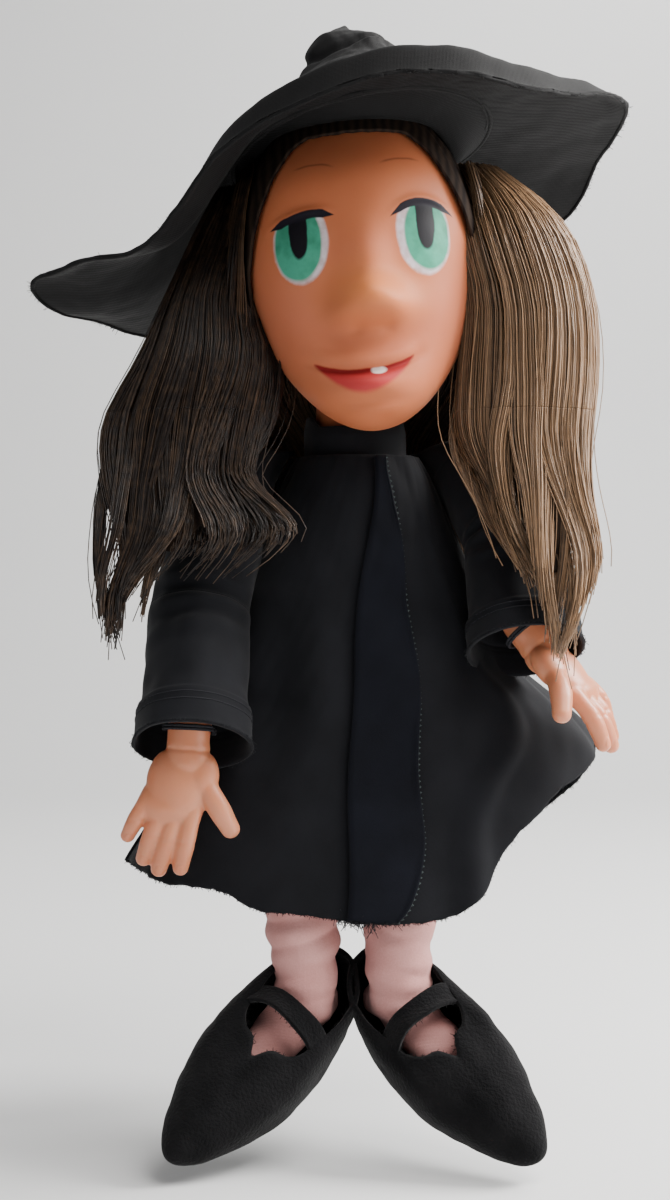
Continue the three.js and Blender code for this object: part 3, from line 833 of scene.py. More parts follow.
def make_wrist_band():
    rows, around, ribs = 14, 160, 60
    z = np.linspace(-2.5, 6, rows)
    grid = ring_grid(lambda a, h: (glove_width_at(h) + 2.0, glove_depth_at(h) + 2.0), z, around, GLOVE_Y)
    rib = 0.3 * np.sin(turns(around)[None, :] * ribs) * np.ones((rows, 1))
    band = sheet("wrist_band_cloth", pushed(grid, True, rib), COAT, wrap=True, thickness=1.4)
    finish(band, "glove", "wrist_band", slot="coat_cloth")


def make_collar():
    rows, around = 12, 120
    t = np.linspace(0, 1, rows)
    z = COAT_TOP - 1.0 + 13.0 * t

    def radii(a, _):
        return COLLAR_R + 0.25 * np.sin(a * 5), COLLAR_R + 0.25 * np.cos(a * 4)

    grid = ring_grid(radii, z, around, NECK[1])
    frontness = (NECK[1] - grid[..., 1]) / COLLAR_R
    grid[..., 2] += 4.5 * smooth(0.75, 0.35, frontness) * t[:, None] ** 2
    roll = -1.0 * smooth(0.7, 1, t) + 0.8 * (1 - smooth(0, 0.25, t))
    grid = pushed(grid, True, roll[:, None] * np.ones((rows, around)) + 0.25 * ripple(grid, 9, 60, 2))
    collar = sheet("collar_cloth", grid, COAT, wrap=True, thickness=1.4)
    finish(collar, "glove", "collar", slot="coat_cloth")


def wound_tie(name, node, centre, normal, radius, thick, body):
    """A cord wound twice round a neck or wrist."""
    normal = unit(np.asarray(normal, float))
    side = unit(np.cross(normal, [0.3, 1, 0.2]))
    front = np.cross(normal, side)
    a = np.linspace(0, TAU * TIE_TURNS, 60 * TIE_TURNS)
    spread = (a / TAU - TIE_TURNS / 2) * thick * 1.9
    coil = side * (radius * np.cos(a))[:, None] + front * (radius * np.sin(a))[:, None]
    tie = tubes(name, centre + coil + normal * spread[:, None], thick, BLACK_THREAD, sides=8)
    finish(tie, body, node, slot="cord")


def make_finger_tube():
    z = np.linspace(166, 226, 40)
    grid = ring_grid(lambda a, h: (FINGER_TUBE_R + 0 * h, FINGER_TUBE_R + 0 * h), z, 64, NECK[1])
    tube = sheet("card_tube", grid, CARD, wrap=True, thickness=1.6)
    finish(tube, "neck", "finger_tube", slot="card")


def make_hip_tape():
    u, v = steps(60).T, steps(12)
    lowest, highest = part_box("hip_tape")
    x = mix(lowest[0] / MM, highest[0] / MM, u) * np.ones_like(v)
    y = HIP["left"][1] + 1 + 0.5 * np.sin(u * 9) * np.ones_like(v)
    z = mix(HIP["left"][2] + 1.6, HIP["left"][2] + 12, v) * np.ones_like(u)
    tape = sheet("hip_tape_cloth", np.stack([x, y, z], -1), LINING, thickness=1.4)
    finish(tape, "glove", "hip_tape", slot="lining")


make_glove()
make_wrist_band()
make_collar()
make_finger_tube()
make_hip_tape()
wound_tie("neck_cord", "neck_tie", np.array([NECK[0], NECK[1], 174]), UP, 19.4, 0.7, "glove")


# ---- sleeves ----------------------------------------------------------------------------------------
SLEEVE_CLOTH = 1.3
SLEEVE_RINGS, ELBOW_RING, SLEEVE_AROUND = 121, 60, 120
ARM_TUBE_R = 11.0
# where the two grooves of the cuff's hem run, as a fraction of the sleeve's length
CUFF_GROOVES = (0.885, 0.91)


def sleeve_grid(side):
    """Rings from the shoulder over the elbow to the wrist."""
    s, e, w = SHOULDER[side], ELBOW[side], WRIST_END[side]
    path = spline([s, mix(s, e, 0.5), e, mix(e, w, 0.5), w], SLEEVE_RINGS)
    t = np.linspace(0, 1, len(path))
    radius = mix(SLEEVE_R - 1, SLEEVE_R + 1.6, t)
    grid = rings_along(path, radius, radius, SLEEVE_AROUND)
    angle = turns(SLEEVE_AROUND)[None, :]
    t = t[:, None]
    inner_bend = np.clip(np.sin(angle), 0, 1)
    crush = 1.5 * hump(t - 0.5, 0.14) * inner_bend * np.sin((t - 0.5) * 60)
    folds = 1.25 * ripple(grid * [0.8, 0.8, 0.5], 13, 70 + OTHER[side], 3)
    cuff = 0.9 * smooth(0.865, 0.872, t) + 0.5 * smooth(0.985, 1, t)
    groove = sum(-0.5 * hump(t - at, 0.0035) for at in CUFF_GROOVES)
    calm = 1 - 0.6 * smooth(0.8, 0.9, t)
    return pushed(grid, True, (folds + crush) * calm - 1.2 * calm + cuff + groove)


def sleeve_head(side, ring):
    """Rows that close the top of a sleeve into a rounded shoulder, ending inside the coat."""
    shoulder, bend = SHOULDER[side], ELBOW[side]
    middle = np.array([SIGN[side] * 26.0, shoulder[1], 173.0])
    turn = np.linspace(math.pi / 2 - 0.04, 0, 16, endpoint=False)[:, None, None]
    rows = middle + (ring - middle) * np.cos(turn) + unit(shoulder - bend) * 9.0 * np.sin(turn)
    return pushed(rows, True, 0.4 * ripple(rows, 9, 75, 2))


def make_sleeve(side):
    grid = sleeve_grid(side)
    head = sleeve_head(side, grid[0])
    shoulder, bend, wrist = SHOULDER[side], ELBOW[side], WRIST_END[side]
    arm, forearm = side + "_upper_arm", side + "_forearm"

    whole = np.concatenate([head, grid[: ELBOW_RING + 1]])
    upper = sheet(f"upper_sleeve_{side}", whole, COAT, wrap=True, thickness=SLEEVE_CLOTH)
    span = (mix(shoulder, bend, -0.05) * MM, mix(shoulder, bend, 0.45) * MM)
    finish(upper, "glove", f"sleeve_upper_{side}", slot="coat_cloth", blend=(arm, *span))

    parts = [sheet(f"lower_sleeve_{side}", grid[ELBOW_RING:], COAT, wrap=True, thickness=SLEEVE_CLOTH)]
    axis = unit(grid[-1].mean(axis=0) - grid[-4].mean(axis=0))
    parts.append(edge_fibres(loop(grid[-1]), axis, 260, 1.4, 0.12, 80, COAT, "fibres"))
    for line in (grid[-14], grid[-11]):
        out = unit(line - line.mean(axis=0))
        parts.append(tubes("stitch", loop(line + out * 0.12), 0.2, BLACK_THREAD, sides=4))
    lower = join(f"lower_sleeve_{side}", parts)
    span = (mix(bend, wrist, -0.2) * MM, mix(bend, wrist, 0.35) * MM)
    finish(lower, arm, f"sleeve_lower_{side}", f"cuff_{side}", slot="coat_cloth", blend=(forearm, *span))


def make_arm_tube(side):
    a, b = ELBOW[side], HAND_ROOT[side]
    path = np.linspace(mix(a, b, 0.05), mix(a, b, 0.7), 40)
    radius = np.full(40, ARM_TUBE_R)
    grid = rings_along(path, radius, radius, 64)
    grid = pushed(grid, True, 0.5 * ripple(grid, 8, 90, 2) - 0.5)
    tube = sheet(f"arm_lining_{side}", grid, LINING, wrap=True, thickness=1.0)
    finish(tube, side + "_forearm", f"arm_tube_{side}", slot="lining")


for side in SIDES:
    make_sleeve(side)
    make_arm_tube(side)


# ---- soft solids made from overlapping lumps --------------------------------------------------------
def ellipsoid(centre, axes, radii, around=32, rows=20):
    """Closed lump with its own three axes (rows of `axes`) and radii."""
    polar = np.linspace(0.02, math.pi - 0.02, rows)[:, None]
    a = turns(around)[None, :]
    return centre + (toward(polar, a) * radii) @ np.asarray(axes)


def tube_rings(path, radius_side, radius_front, around=32):
    """Rings along a path, with rounded ends of six rings each."""
    path = np.asarray(path, float)
    side, front = np.asarray(radius_side, float), np.asarray(radius_front, float)
    a = np.linspace(0.12, math.pi / 2, 6, endpoint=False)
    ends = []
    for index, away in ((0, path[0] - path[1]), (-1, path[-1] - path[-2])):
        r = min(side[index], front[index])
        points = path[index] + unit(away) * (r * np.cos(a))[:, None]
        ends.append((points, side[index] * np.sin(a), front[index] * np.sin(a)))
    (p0, s0, f0), (p1, s1, f1) = ends
    path = np.vstack([p0, path, p1[::-1]])
    side, front = np.concatenate([s0, side, s1[::-1]]), np.concatenate([f0, front, f1[::-1]])
    return rings_along(path, side, front, around)


def lumps(name, shapes, voxel, passes, material):
    """Joins overlapping closed shapes into one smooth skin."""
    faces = []
    count = 0
    for rings in shapes:
        rows, around, _ = rings.shape
        faces += closed_faces(rows, around, count)
        count += rows * around
    obj = make_mesh(name, np.concatenate([rings.reshape(-1, 3) for rings in shapes]), faces, material)
    recalculate(obj)
    remesh = obj.modifiers.new("skin", "REMESH")
    remesh.mode = "VOXEL"
    remesh.voxel_size = voxel * MM
    relax = obj.modifiers.new("relax", "SMOOTH")
    relax.factor = 0.5
    relax.iterations = passes
    apply_modifiers(obj)
    obj.data.polygons.foreach_set("use_smooth", [True] * len(obj.data.polygons))
    return obj


def points_of(obj):
    """Vertex positions in millimetres and their normals."""
    count = len(obj.data.vertices)
    places = np.empty(count * 3)
    normals = np.empty(count * 3)
    obj.data.vertices.foreach_get("co", places)
    obj.data.vertex_normals.foreach_get("vector", normals)
    return places.reshape(-1, 3) / MM, normals.reshape(-1, 3)


def move_points(obj, places):
    obj.data.vertices.foreach_set("co", (places * MM).ravel())
    obj.data.update()


# ---- hands ------------------------------------------------------------------------------------------
def vinyl_material():
    n = Nodes("vinyl_hand")
    blush = n.ramp(n.noise(35, 3), 0.35, 0.7)
    colour = n.mix(blush, rgb(0.58, 0.205, 0.10), rgb(0.63, 0.25, 0.135))
    n.bump(n.noise(900, 2), 0.05)
    skin = {"Subsurface_Weight": 0.25, "Subsurface_Scale": 0.006}
    return n.set(Base_Color=colour, **surface(0.36, 0.5), **skin)


HAND_VINYL = vinyl_material()
HAND_VOXEL = 0.62
# each finger: root and tip as (across, down) from the wrist, how far the tip curls to the palm, and radius
FINGERS = [
    ((-12, 26), (-20, 46), 2.0, 3.5),
    ((-6.5, 28), (-13.5, 54), 2.5, 3.8),
    ((-1, 28), (-7.5, 57.5), 2.5, 3.9),
    ((4.5, 28), (0.5, 56.5), 2.0, 3.8),
]
THUMB = ((5, 18), (18, 41), 1.5, 4.6)


def hand_frame(side):
    root, tip = HAND_ROOT[side], HAND_TIP[side]
    down = unit(tip - root)
    across = unit(HAND_ACROSS[side] - down * (HAND_ACROSS[side] @ down))
    normal = np.cross(down, across)
    if normal[1] > 0:
        normal = -normal
    return root, down, across, normal


def make_hand(side):
    root, down, across, normal = hand_frame(side)
    axes = np.stack([across, normal, down])

    def spot(a, s, n=0.0):
        return root + across * a + down * s + normal * n

    shapes = [
        tube_rings([spot(0, -2), spot(0, 6), spot(0.5, 14)], [8.2, 7.9, 8.6], [8.2, 7.6, 6.8]),
        ellipsoid(spot(-2.5, 22), axes, (12.0, 6.3, 14.0)),
        ellipsoid(spot(-5.5, 31), axes, (11.6, 4.8, 7.5)),
        ellipsoid(spot(5.5, 19), axes, (7.0, 5.6, 9.5)),
    ]
    t = np.linspace(0, 1, 9)
    for (a0, s0), (a1, s1), curl, thick in FINGERS + [THUMB]:
        lift = [-curl * 0.6 + 2.2 * math.sin(math.pi * k) - curl * k * k for k in t]
        path = [spot(mix(a0, a1, k), mix(s0, s1 - 3.2, k), n) for k, n in zip(t, lift)]
        radius = thick * (1.0 - 0.16 * t + 0.05 * np.cos(t * TAU * 1.5))
        shapes.append(tube_rings(path, radius, radius * 0.94, around=20))
    hand = lumps(f"vinyl_hand_{side}", shapes, HAND_VOXEL, 6, HAND_VINYL)
    places, normals = points_of(hand)
    local = (places - root) @ axes.T
    back = smooth(0.1, 0.7, normals @ normal)
    a, s = local[:, 0], local[:, 2]
    for (a0, s0), (a1, s1), _, _ in FINGERS:
        knuckle = (a - mix(a0, a1, 0.14)) ** 2 / 14 + (s - mix(s0, s1, 0.14)) ** 2 / 12
        places += normals * (0.45 * back * np.exp(-knuckle))[:, None]
        nail = (a - mix(a0, a1, 0.95)) ** 2 / 3.6 + (s - mix(s0, s1, 0.93)) ** 2 / 6.5
        places -= normals * (0.32 * back * smooth(0.75, 1.0, nail) * smooth(1.45, 1.1, nail))[:, None]
        crease = bell(s, a, mix(s0, s1, 0.56), mix(a0, a1, 0.56), 0.7, 4)
        places -= normals * (0.25 * crease)[:, None]
    places -= normals * (0.35 * hump(s - 10, 0.8))[:, None]
    move_points(hand, places)
    finish(hand, side + "_hand", f"hand_{side}", slot="vinyl")
    wound_tie(f"wrist_cord_{side}", f"wrist_tie_{side}", root + down * 2, down, 9.7, 0.6, side + "_hand")


for side in SIDES:
    make_hand(side)


# ---- legs and shoes ---------------------------------------------------------------------------------
LEG_VOXEL = 0.85
# how far behind the ankle the heel lies, and how far below it the sole
HEEL_BACK = 24.0
ANKLE_HEIGHT = 19.0
SOLE_POINTS = 144
# rings of the sole: height, and how far each lies inside the outline
SOLE_LEVELS, SOLE_INSETS = (-0.8, -0.2, 1.2, 2.4, 2.8), (1.4, 0.1, -0.35, -0.1, 0.8)


def shoe_frame(side):
    """Function from shoe lengths (heel to toe, across, up from the sole) to the puppet's frame."""
    sign = SIGN[side]
    aim = unit(np.array([0.6 * sign, -0.62, -0.5]))
    up = np.array([-0.2 * sign, -0.7, 0.65])
    up = unit(up - aim * (up @ aim))
    across = np.cross(up, aim)
    heel = ANKLE[side] - aim * HEEL_BACK - up * ANKLE_HEIGHT

    def point(x, y, z):
        x, y, z = np.broadcast_arrays(np.asarray(x, float), y, z)
        return heel + x[..., None] * aim + y[..., None] * across + z[..., None] * up

    return point, np.stack([aim, across, up])


# half width and half depth of the leg, from the hip to the ankle
shin_side_at = lookup([[0, 14.2], [0.3, 15.8], [0.6, 15.2], [0.8, 13.2], [1, 11.4]])
shin_front_at = lookup([[0, 3.0], [0.22, 9], [0.45, 14.6], [0.8, 13], [1, 11.2]])
# how deep the cloth sags into rings above the shoe
SAG = {"left": 0.9, "right": 1.5}


def make_stocking(side):
    at, axes = shoe_frame(side)
    hip, ankle = HIP[side], ANKLE[side]
    t = steps(14)
    shin = mix(hip, ankle, t)
    along = np.array([0.16, 0.3, 0.45, 0.6, 0.72]) * SHOE_LENGTH
    foot = at(along, 0, np.array([13.5, 13.4, 12.2, 10.0, 8.6]))
    shapes = [
        tube_rings(shin, shin_side_at(t[:, 0]), shin_front_at(t[:, 0])),
        ellipsoid(ankle, axes, (12.2, 11.8, 12.0)),
        tube_rings(foot, [10.8, 12.4, 11.4, 9.2, 6.6], [8.4, 8.6, 7.6, 6.4, 5.0]),
    ]
    leg = lumps(f"stocking_{side}", shapes, LEG_VOXEL, 10, PINK)
    places, normals = points_of(leg)
    height = places[:, 2].copy()
    low = smooth(20, -28, height)
    wrinkle = ripple(places * [0.35, 0.35, 1.0], 6.5, 110 + OTHER[side], 2)
    roll = ripple(places * [0.5, 0.5, 1.0], 17, 112 + OTHER[side], 1)
    above_shoe = smooth(-46, -36, height)
    lean = 0.3 * SIGN[side] * places[:, 0] + 2.5 * roll
    folds = np.abs(np.sin((height + lean) / 3.6)) * smooth(8, -4, height) * smooth(-30, -24, height)
    places += normals * ((0.5 + 0.75 * low) * wrinkle * above_shoe + 0.9 * roll * above_shoe - 0.4)[:, None]
    places += normals * (SAG[side] * (folds - 0.7))[:, None]
    move_points(leg, places)
    shin_axis = unit(ankle - hip)
    bend = (side + "_foot", (ankle - shin_axis * 16) * MM, (ankle + shin_axis * 3) * MM)
    finish(leg, side + "_leg", f"leg_{side}", f"foot_{side}", slot="leg_cloth", blend=bend)


def sole_half_width(s):
    s = np.clip(s, 0, 1)
    round_ends = np.sqrt(np.maximum(0.0, 1 - np.abs(2 * s - 1) ** 2.6))
    waist, toe = 0.84 + 0.16 * np.sin(math.pi * s), 1 - 0.2 * smooth(0.55, 0.95, s)
    return SHOE_HALF_WIDTH * round_ends * waist * toe


def sole_outline(count, grow=0.0):
    """Sole outline in shoe lengths, from the toe round by the +y side and the heel."""
    a = turns(count)
    s = 0.5 + 0.5 * np.cos(a)
    y = sole_half_width(s) * np.sign(np.sin(a))
    x = s * SHOE_LENGTH
    return x + grow * np.cos(a), y + grow * np.sin(a), a


# half of the rim of the shoe's mouth: along, across and up from the sole
OPENING = [
    (57, 0, 21.5), (51.5, 4.2, 23.3), (49, 9.5, 22.8), (43, 13.6, 22.5), (34, 14.8, 23.6), (23, 15.4, 25.5),
    (12, 12.4, 27.5), (5.5, 5.5, 29.0),
]


def opening_rim(count):
    """Rim of the shoe's mouth: a notch towards the toe, round at the heel."""
    half = list(OPENING) + [(4.4, 0, 29.4)]
    other = [(x, -y, z) for x, y, z in reversed(OPENING[1:])]
    return spline(half + other, count, closed=True)


def make_shoe_upper(side, at, axes):
    around = SOLE_POINTS
    x, y, a = sole_outline(around)
    bottom = np.stack([x, y, np.full(around, 2.6)], -1)
    rim = opening_rim(around)
    v = steps(34)[..., None]
    toe = smooth(0.2, 1.0, np.cos(a))
    swell = bottom * [1, 1, 0] + np.stack([1.2 * np.cos(a), 1.4 * np.sin(a), mix(21, 10.5, toe)], -1)
    local = (1 - v) ** 2 * bottom + 2 * v * (1 - v) * swell + v**2 * rim
    grid = at(local[..., 0], local[..., 1], local[..., 2])
    dents = 0.7 * ripple(grid, 24, 130 + OTHER[side], 2) * np.sin(math.pi * v[..., 0])
    crumple = 0.35 * ripple(grid * [1, 1, 1.6], 8, 132, 2)
    grid = pushed(grid, True, -dents - crumple)
    upper = sheet(f"upper_{side}", grid, FELT, wrap=True, thickness=1.7, inwards=-1)
    fuzz = edge_fibres(loop(grid[-1]), axes[2], 420, 1.6, 0.11, 140, FELT, "fuzz", spread=1.0)
    seam = tubes("seam", loop(grid[1]), 0.75, FELT, sides=8)
    upper = join(f"felt_upper_{side}", [upper, fuzz, seam])
    recalculate(upper)
    finish(upper, side + "_foot", f"shoe_upper_{side}", slot="shoe_felt")


def make_sole(side, at):
    rings = []
    for z, inset in zip(SOLE_LEVELS, SOLE_INSETS):
        x, y, _ = sole_outline(SOLE_POINTS, -inset)
        rings.append(at(x, y, np.full(SOLE_POINTS, z)))
    sole = closed_grid(f"felt_sole_{side}", np.stack(rings), FELT)
    finish(sole, side + "_foot", f"shoe_sole_{side}", slot="shoe_felt")


def make_strap(side, at, axes):
    u, w = steps(70).T, steps(16)
    arc = mix(-0.1, math.pi + 0.1, u)
    y = 20.2 * np.cos(arc) + 0 * w
    z = 8 + 21.5 * np.maximum(-0.1, np.sin(arc)) + 0.8 * np.sin(w * 3 + u * 7)
    strap = at(mix(37.0, 46.0, w) - 5.5 * np.sin(arc) + 0.5 * np.sin(u * 17), y, z)
    strap = pushed(strap, False, 0.3 * ripple(strap, 9, 150, 2))
    parts = [sheet(f"strap_{side}", strap, FELT, thickness=1.6, inwards=-1)]
    for edge, way in ((strap[0], -axes[0]), (strap[-1], axes[0])):
        parts.append(edge_fibres(edge, way, 120, 1.2, 0.11, 151, FELT, "fuzz"))
    band = join(f"felt_strap_{side}", parts)
    recalculate(band)
    finish(band, side + "_foot", f"shoe_strap_{side}", slot="shoe_felt")


for side in SIDES:
    make_stocking(side)
    shoe_point, shoe_axes = shoe_frame(side)
    make_shoe_upper(side, shoe_point, shoe_axes)
    make_sole(side, shoe_point)
    make_strap(side, shoe_point, shoe_axes)


# ---- head -------------------------------------------------------------------------------------------
CHIN_FORWARD = 30.0
NECK_R, NECK_BORE_R = 15.5, 12.9
# each eye: centre; the lid's peak, height and curve; centre, width and height of iris and of pupil
EYES = {
    "right": dict(x=-23.0, lid=(-20.0, 15.0, 0.015), iris=(-24.0, 8.9, 14.2), pupil=(-23.6, 3.5, 16.0)),
    "left": dict(x=23.0, lid=(23.6, 17.2, 0.036), iris=(24.3, 8.6, 13.6), pupil=(24.0, 3.5, 16.0)),
}
EYE_Z, EYE_RX, EYE_RZ = 5.0, 10.3, 15.4
PUPIL_Z = 15.0
LID_THICK = 3.0
MOUTH_X, MOUTH_Z, MOUTH_HALF, MOUTH_SMILE = -3.0, -45.0, 19.0, 4.7
LIP_BOTTOM = -53.6


def egg(direction, grow=0.0):
    """The plain head: a stretched ball with a narrower jaw and the chin forward."""
    low = smooth(0, -1, direction[..., 2])
    ball = (HEAD_HALF + grow) * direction
    ball[..., 0] *= 1 - 0.14 * low
    ball[..., 1] *= 1 - 0.1 * low
    ball[..., 1] -= CHIN_FORWARD * low * low
    return ball


def mouth_line(x):
    return MOUTH_Z + MOUTH_SMILE * ((x - MOUTH_X) / MOUTH_HALF) ** 2


def face_relief(x, z):
    """How far the face stands forward of the plain egg."""
    out = 12.0 * bell(x, z, 1, -20.5, 13.5, 9.0, 1.25)
    out += 3.6 * bell(x, z, 1, -6, 8, 13)
    out += 1.8 * (bell(x, z, -9.5, -23, 5, 5) + bell(x, z, 11.5, -23, 5, 5))
    out -= 1.2 * (bell(x, z, -4.5, -30, 2.6, 1.8) + bell(x, z, 6.5, -30, 2.6, 1.8))
    out += 2.2 * (bell(x, z, -28, -24, 15, 14) + bell(x, z, 29, -24, 15, 14))
    for eye in EYES.values():
        out -= 2.6 * bell(x, z, eye["x"], 4, 14, 18, 1.6)
        out += 1.9 * bell(x, z, eye["x"], 3, 9.5, 13, 1.6)
        peak, height, curve = eye["lid"]
        lid = height - curve * (x - peak) ** 2
        out += hump(z - lid - 1.5, 1.6) * hump(x - eye["x"], 11, 4)
    out += 1.4 * bell(x, z, 0, 30, 34, 9)
    line = mouth_line(x)
    wide = hump(x - MOUTH_X, MOUTH_HALF + 1, 6)
    out -= 1.9 * hump(z - line + 1.0, 1.5) * wide
    out += 1.3 * hump(z - line - 3.2, 2.8) * wide
    out += 2.6 * bell(x, z, -2.4, -50.8, 13, 4.0)
    out -= 1.2 * bell(x, z, -2.4, -57, 12, 2.4)
    out += 1.6 * bell(x, z, -1, -61, 13, 6)
    out -= 0.5 * (bell(x, z, -24, -40, 3.5, 3.5) + bell(x, z, 18, -39, 3.5, 3.5))
    return out


def head_to_world(local):
    """The head leans: local millimetres to the puppet's frame."""
    x, y, z = local[..., 0], local[..., 1], local[..., 2]
    cos, sin = math.cos(HEAD_ROLL), math.sin(HEAD_ROLL)
    return HEAD_CENTRE + np.stack([x * cos - z * sin, y, z * cos + x * sin], -1)


def head_directions(rows, columns):
    """Unit directions, from the top down, closer together over the face."""
    polar = np.linspace(0.01, math.pi - 0.01, rows)[:, None]
    t = np.linspace(0, 1, columns, endpoint=False)
    azimuth = (TAU * t + 0.8 * np.sin(TAU * t) - math.pi / 2)[None, :]
    return toward(polar, azimuth)


def everywhere(*masks):
    """Where all masks are on."""
    total = masks[0]
    for mask in masks[1:]:
        total = total * mask
    return total


def oval(n, x, z, cx, cz, rx, rz, soft, square=2):
    """Soft mask of an oval; a higher `square` gives it straighter sides."""
    dx = abs((x - cx) / rx) ** 2.0
    dz = abs((z - cz) / rz) ** float(square)
    return n.ramp(n.math("SQRT", dx + dz), 1 + soft, 1 - soft)


def arch(x, centre, height, curve):
    d = x - centre
    return height - d * d * curve


def paint_skin(n, x, z):
    mottle = n.ramp(n.noise(28, 3), 0.3, 0.75)
    colour = n.mix(mottle, rgb(0.50, 0.142, 0.058), rgb(0.55, 0.172, 0.078))
    cheeks = [oval(n, x, z, cx, -22, 24, 20, 0.9) for cx in (-26, 28)]
    colour = n.mix(n.math("ADD", *cheeks, clamp=True) * 0.45, colour, rgb(0.62, 0.195, 0.115))
    colour = n.mix(oval(n, x, z, 3, -17, 15, 10, 0.8) * 0.55, colour, rgb(0.62, 0.20, 0.045))
    # painted shade under the nose: a darker patch over the upper lip, where the nose shades it
    return n.mix(oval(n, x, z, 1, -29, 15, 6, 0.9) * 0.45, colour, rgb(0.36, 0.085, 0.03))


def paint_eye(n, colour, side, eye, x, z, xs, zs):
    lid = arch(x, *eye["lid"])
    below = n.ramp(zs - lid, 0.3, -0.3)
    white = everywhere(oval(n, xs, zs, eye["x"], EYE_Z, EYE_RX, EYE_RZ, 0.05), below)
    blotch = n.ramp(n.noise(260, 3), 0.35, 0.6)
    colour = n.mix(white * 0.93, colour, n.mix(blotch, rgb(0.52, 0.42, 0.43), rgb(0.68, 0.62, 0.66)))
    cx, rx, rz = eye["iris"]
    iris = everywhere(oval(n, xs, zs, cx, EYE_Z, rx, rz, 0.05), below)
    shade = n.ramp(n.noise(170, 4) + z * 0.008, 0.4, 0.75)
    colour = n.mix(iris, colour, n.mix(shade, rgb(0.065, 0.36, 0.235), rgb(0.035, 0.235, 0.14)))
    cx, rx, rz = eye["pupil"]
    pupil = everywhere(oval(n, xs, zs, cx, PUPIL_Z, rx, rz, 0.07, 4), below)
    colour = n.mix(pupil, colour, rgb(0.008, 0.007, 0.010))

    reach = abs(x - (eye["x"] + (1.0 if side == "right" else 0.0)))
    thick = n.ramp(reach, 12.4, 8.0) * (LID_THICK / 2)
    line = n.ramp(abs(zs - lid) - thick, 0.25, -0.25)
    colour = n.mix(everywhere(line, n.ramp(reach, 12.6, 11.8)), colour, rgb(0.010, 0.008, 0.014))
    brow_lift = arch(x, eye["x"] * 0.8, 34.0, 0.02)
    brow = everywhere(n.ramp(abs(zs - brow_lift), 0.7, 0.1), n.ramp(abs(x - eye["x"] * 0.7), 8, 5))
    return n.mix(brow * 0.55, colour, rgb(0.10, 0.03, 0.02))


def paint_mouth(n, colour, x, z, xs, zs):
    across = (x - MOUTH_X) / MOUTH_HALF
    square = across * across
    top = square * MOUTH_SMILE + MOUTH_Z
    bottom = top - n.math("SUBTRACT", 1.0, square, clamp=True) * (MOUTH_Z - LIP_BOTTOM)
    under = n.ramp(zs - top, 0.35, -0.25)
    lips = everywhere(under, n.ramp(zs - bottom, -0.9, 0.9), n.ramp(abs(across), 1.0, 0.97))
    sink = n.ramp(top - z, 4.5, 0.6)
    colour = n.mix(lips, colour, n.mix(sink, rgb(0.46, 0.045, 0.045), rgb(0.24, 0.010, 0.010)))
    tooth = everywhere(oval(n, xs, zs, 2.0, MOUTH_Z - 0.6, 2.9, 1.5, 0.2), under)
    return n.mix(tooth, colour, rgb(0.72, 0.60, 0.55))


def painted_head_material():
    n = Nodes("vinyl_face")
    place = n.node("ShaderNodeSeparateXYZ")
    n.feed(place.inputs[0], n.position())
    wx = n.value(place.outputs["X"]) * 1000 - float(HEAD_CENTRE[0])
    wz = n.value(place.outputs["Z"]) * 1000 - float(HEAD_CENTRE[2])
    x = wx * math.cos(HEAD_ROLL) + wz * math.sin(HEAD_ROLL)
    z = wz * math.cos(HEAD_ROLL) - wx * math.sin(HEAD_ROLL)
    front = n.math("LESS_THAN", place.outputs["Y"], -0.02)
    # painted edges waver a little, as a brush does
    waver = (n.noise(130, 3) - 0.5) * 1.1
    xs, zs = x + waver, z + waver

    colour = paint_skin(n, x, z)
    for side, eye in EYES.items():
        colour = paint_eye(n, colour, side, eye, x, z, xs, zs)
    colour = paint_mouth(n, colour, x, z, xs, zs)
    colour = n.mix(front, rgb(0.52, 0.155, 0.07), colour)
    n.bump(n.noise(700, 2), 0.03)
    skin = {"Subsurface_Weight": 0.12, "Subsurface_Scale": 0.005}
    return n.set(Base_Color=colour, **surface(0.5, 0.13), **skin)


def make_head():
    directions = head_directions(250, 340)
    local = egg(directions)
    facing = smooth(0.15, -0.25, directions[..., 1])
    local[..., 1] -= face_relief(local[..., 0], local[..., 2]) * facing
    head = closed_grid("vinyl_head", head_to_world(local), painted_head_material())
    x, y = NECK[:2]
    boolean(head, rod([x, y, 178], [x, y, 206], NECK_R, 96), "UNION")
    boolean(head, rod([x, y, 170], [x, y, 232], NECK_BORE_R, 96), "DIFFERENCE")
    finish(head, "head", "head_shell", slot="vinyl")


def make_wig_cap():
    """Thin cap of hair from the forehead round behind the ears, in the dark colour of painted shade."""
    columns, rows = 200, 70
    azimuth = turns(columns)[None, :]
    front = smooth(-0.1, -0.9, np.sin(azimuth))
    polar = mix(0.02, mix(2.02, 0.84, front), steps(rows))
    grid = head_to_world(egg(toward(polar, azimuth), 1.6))
    combed = np.stack([azimuth * 30 + 0 * polar, polar * 4, 0 * polar], -1)
    grid = pushed(grid, True, 0.35 * ripple(combed, 2.0, 160, 3))
    cap = sheet("wig_cap_hair", grid, SHADED_HAIR, wrap=True, thickness=1.3)
    recalculate(cap)
    finish(cap, "head", "wig_cap", slot="hair")


make_head()
make_wig_cap()


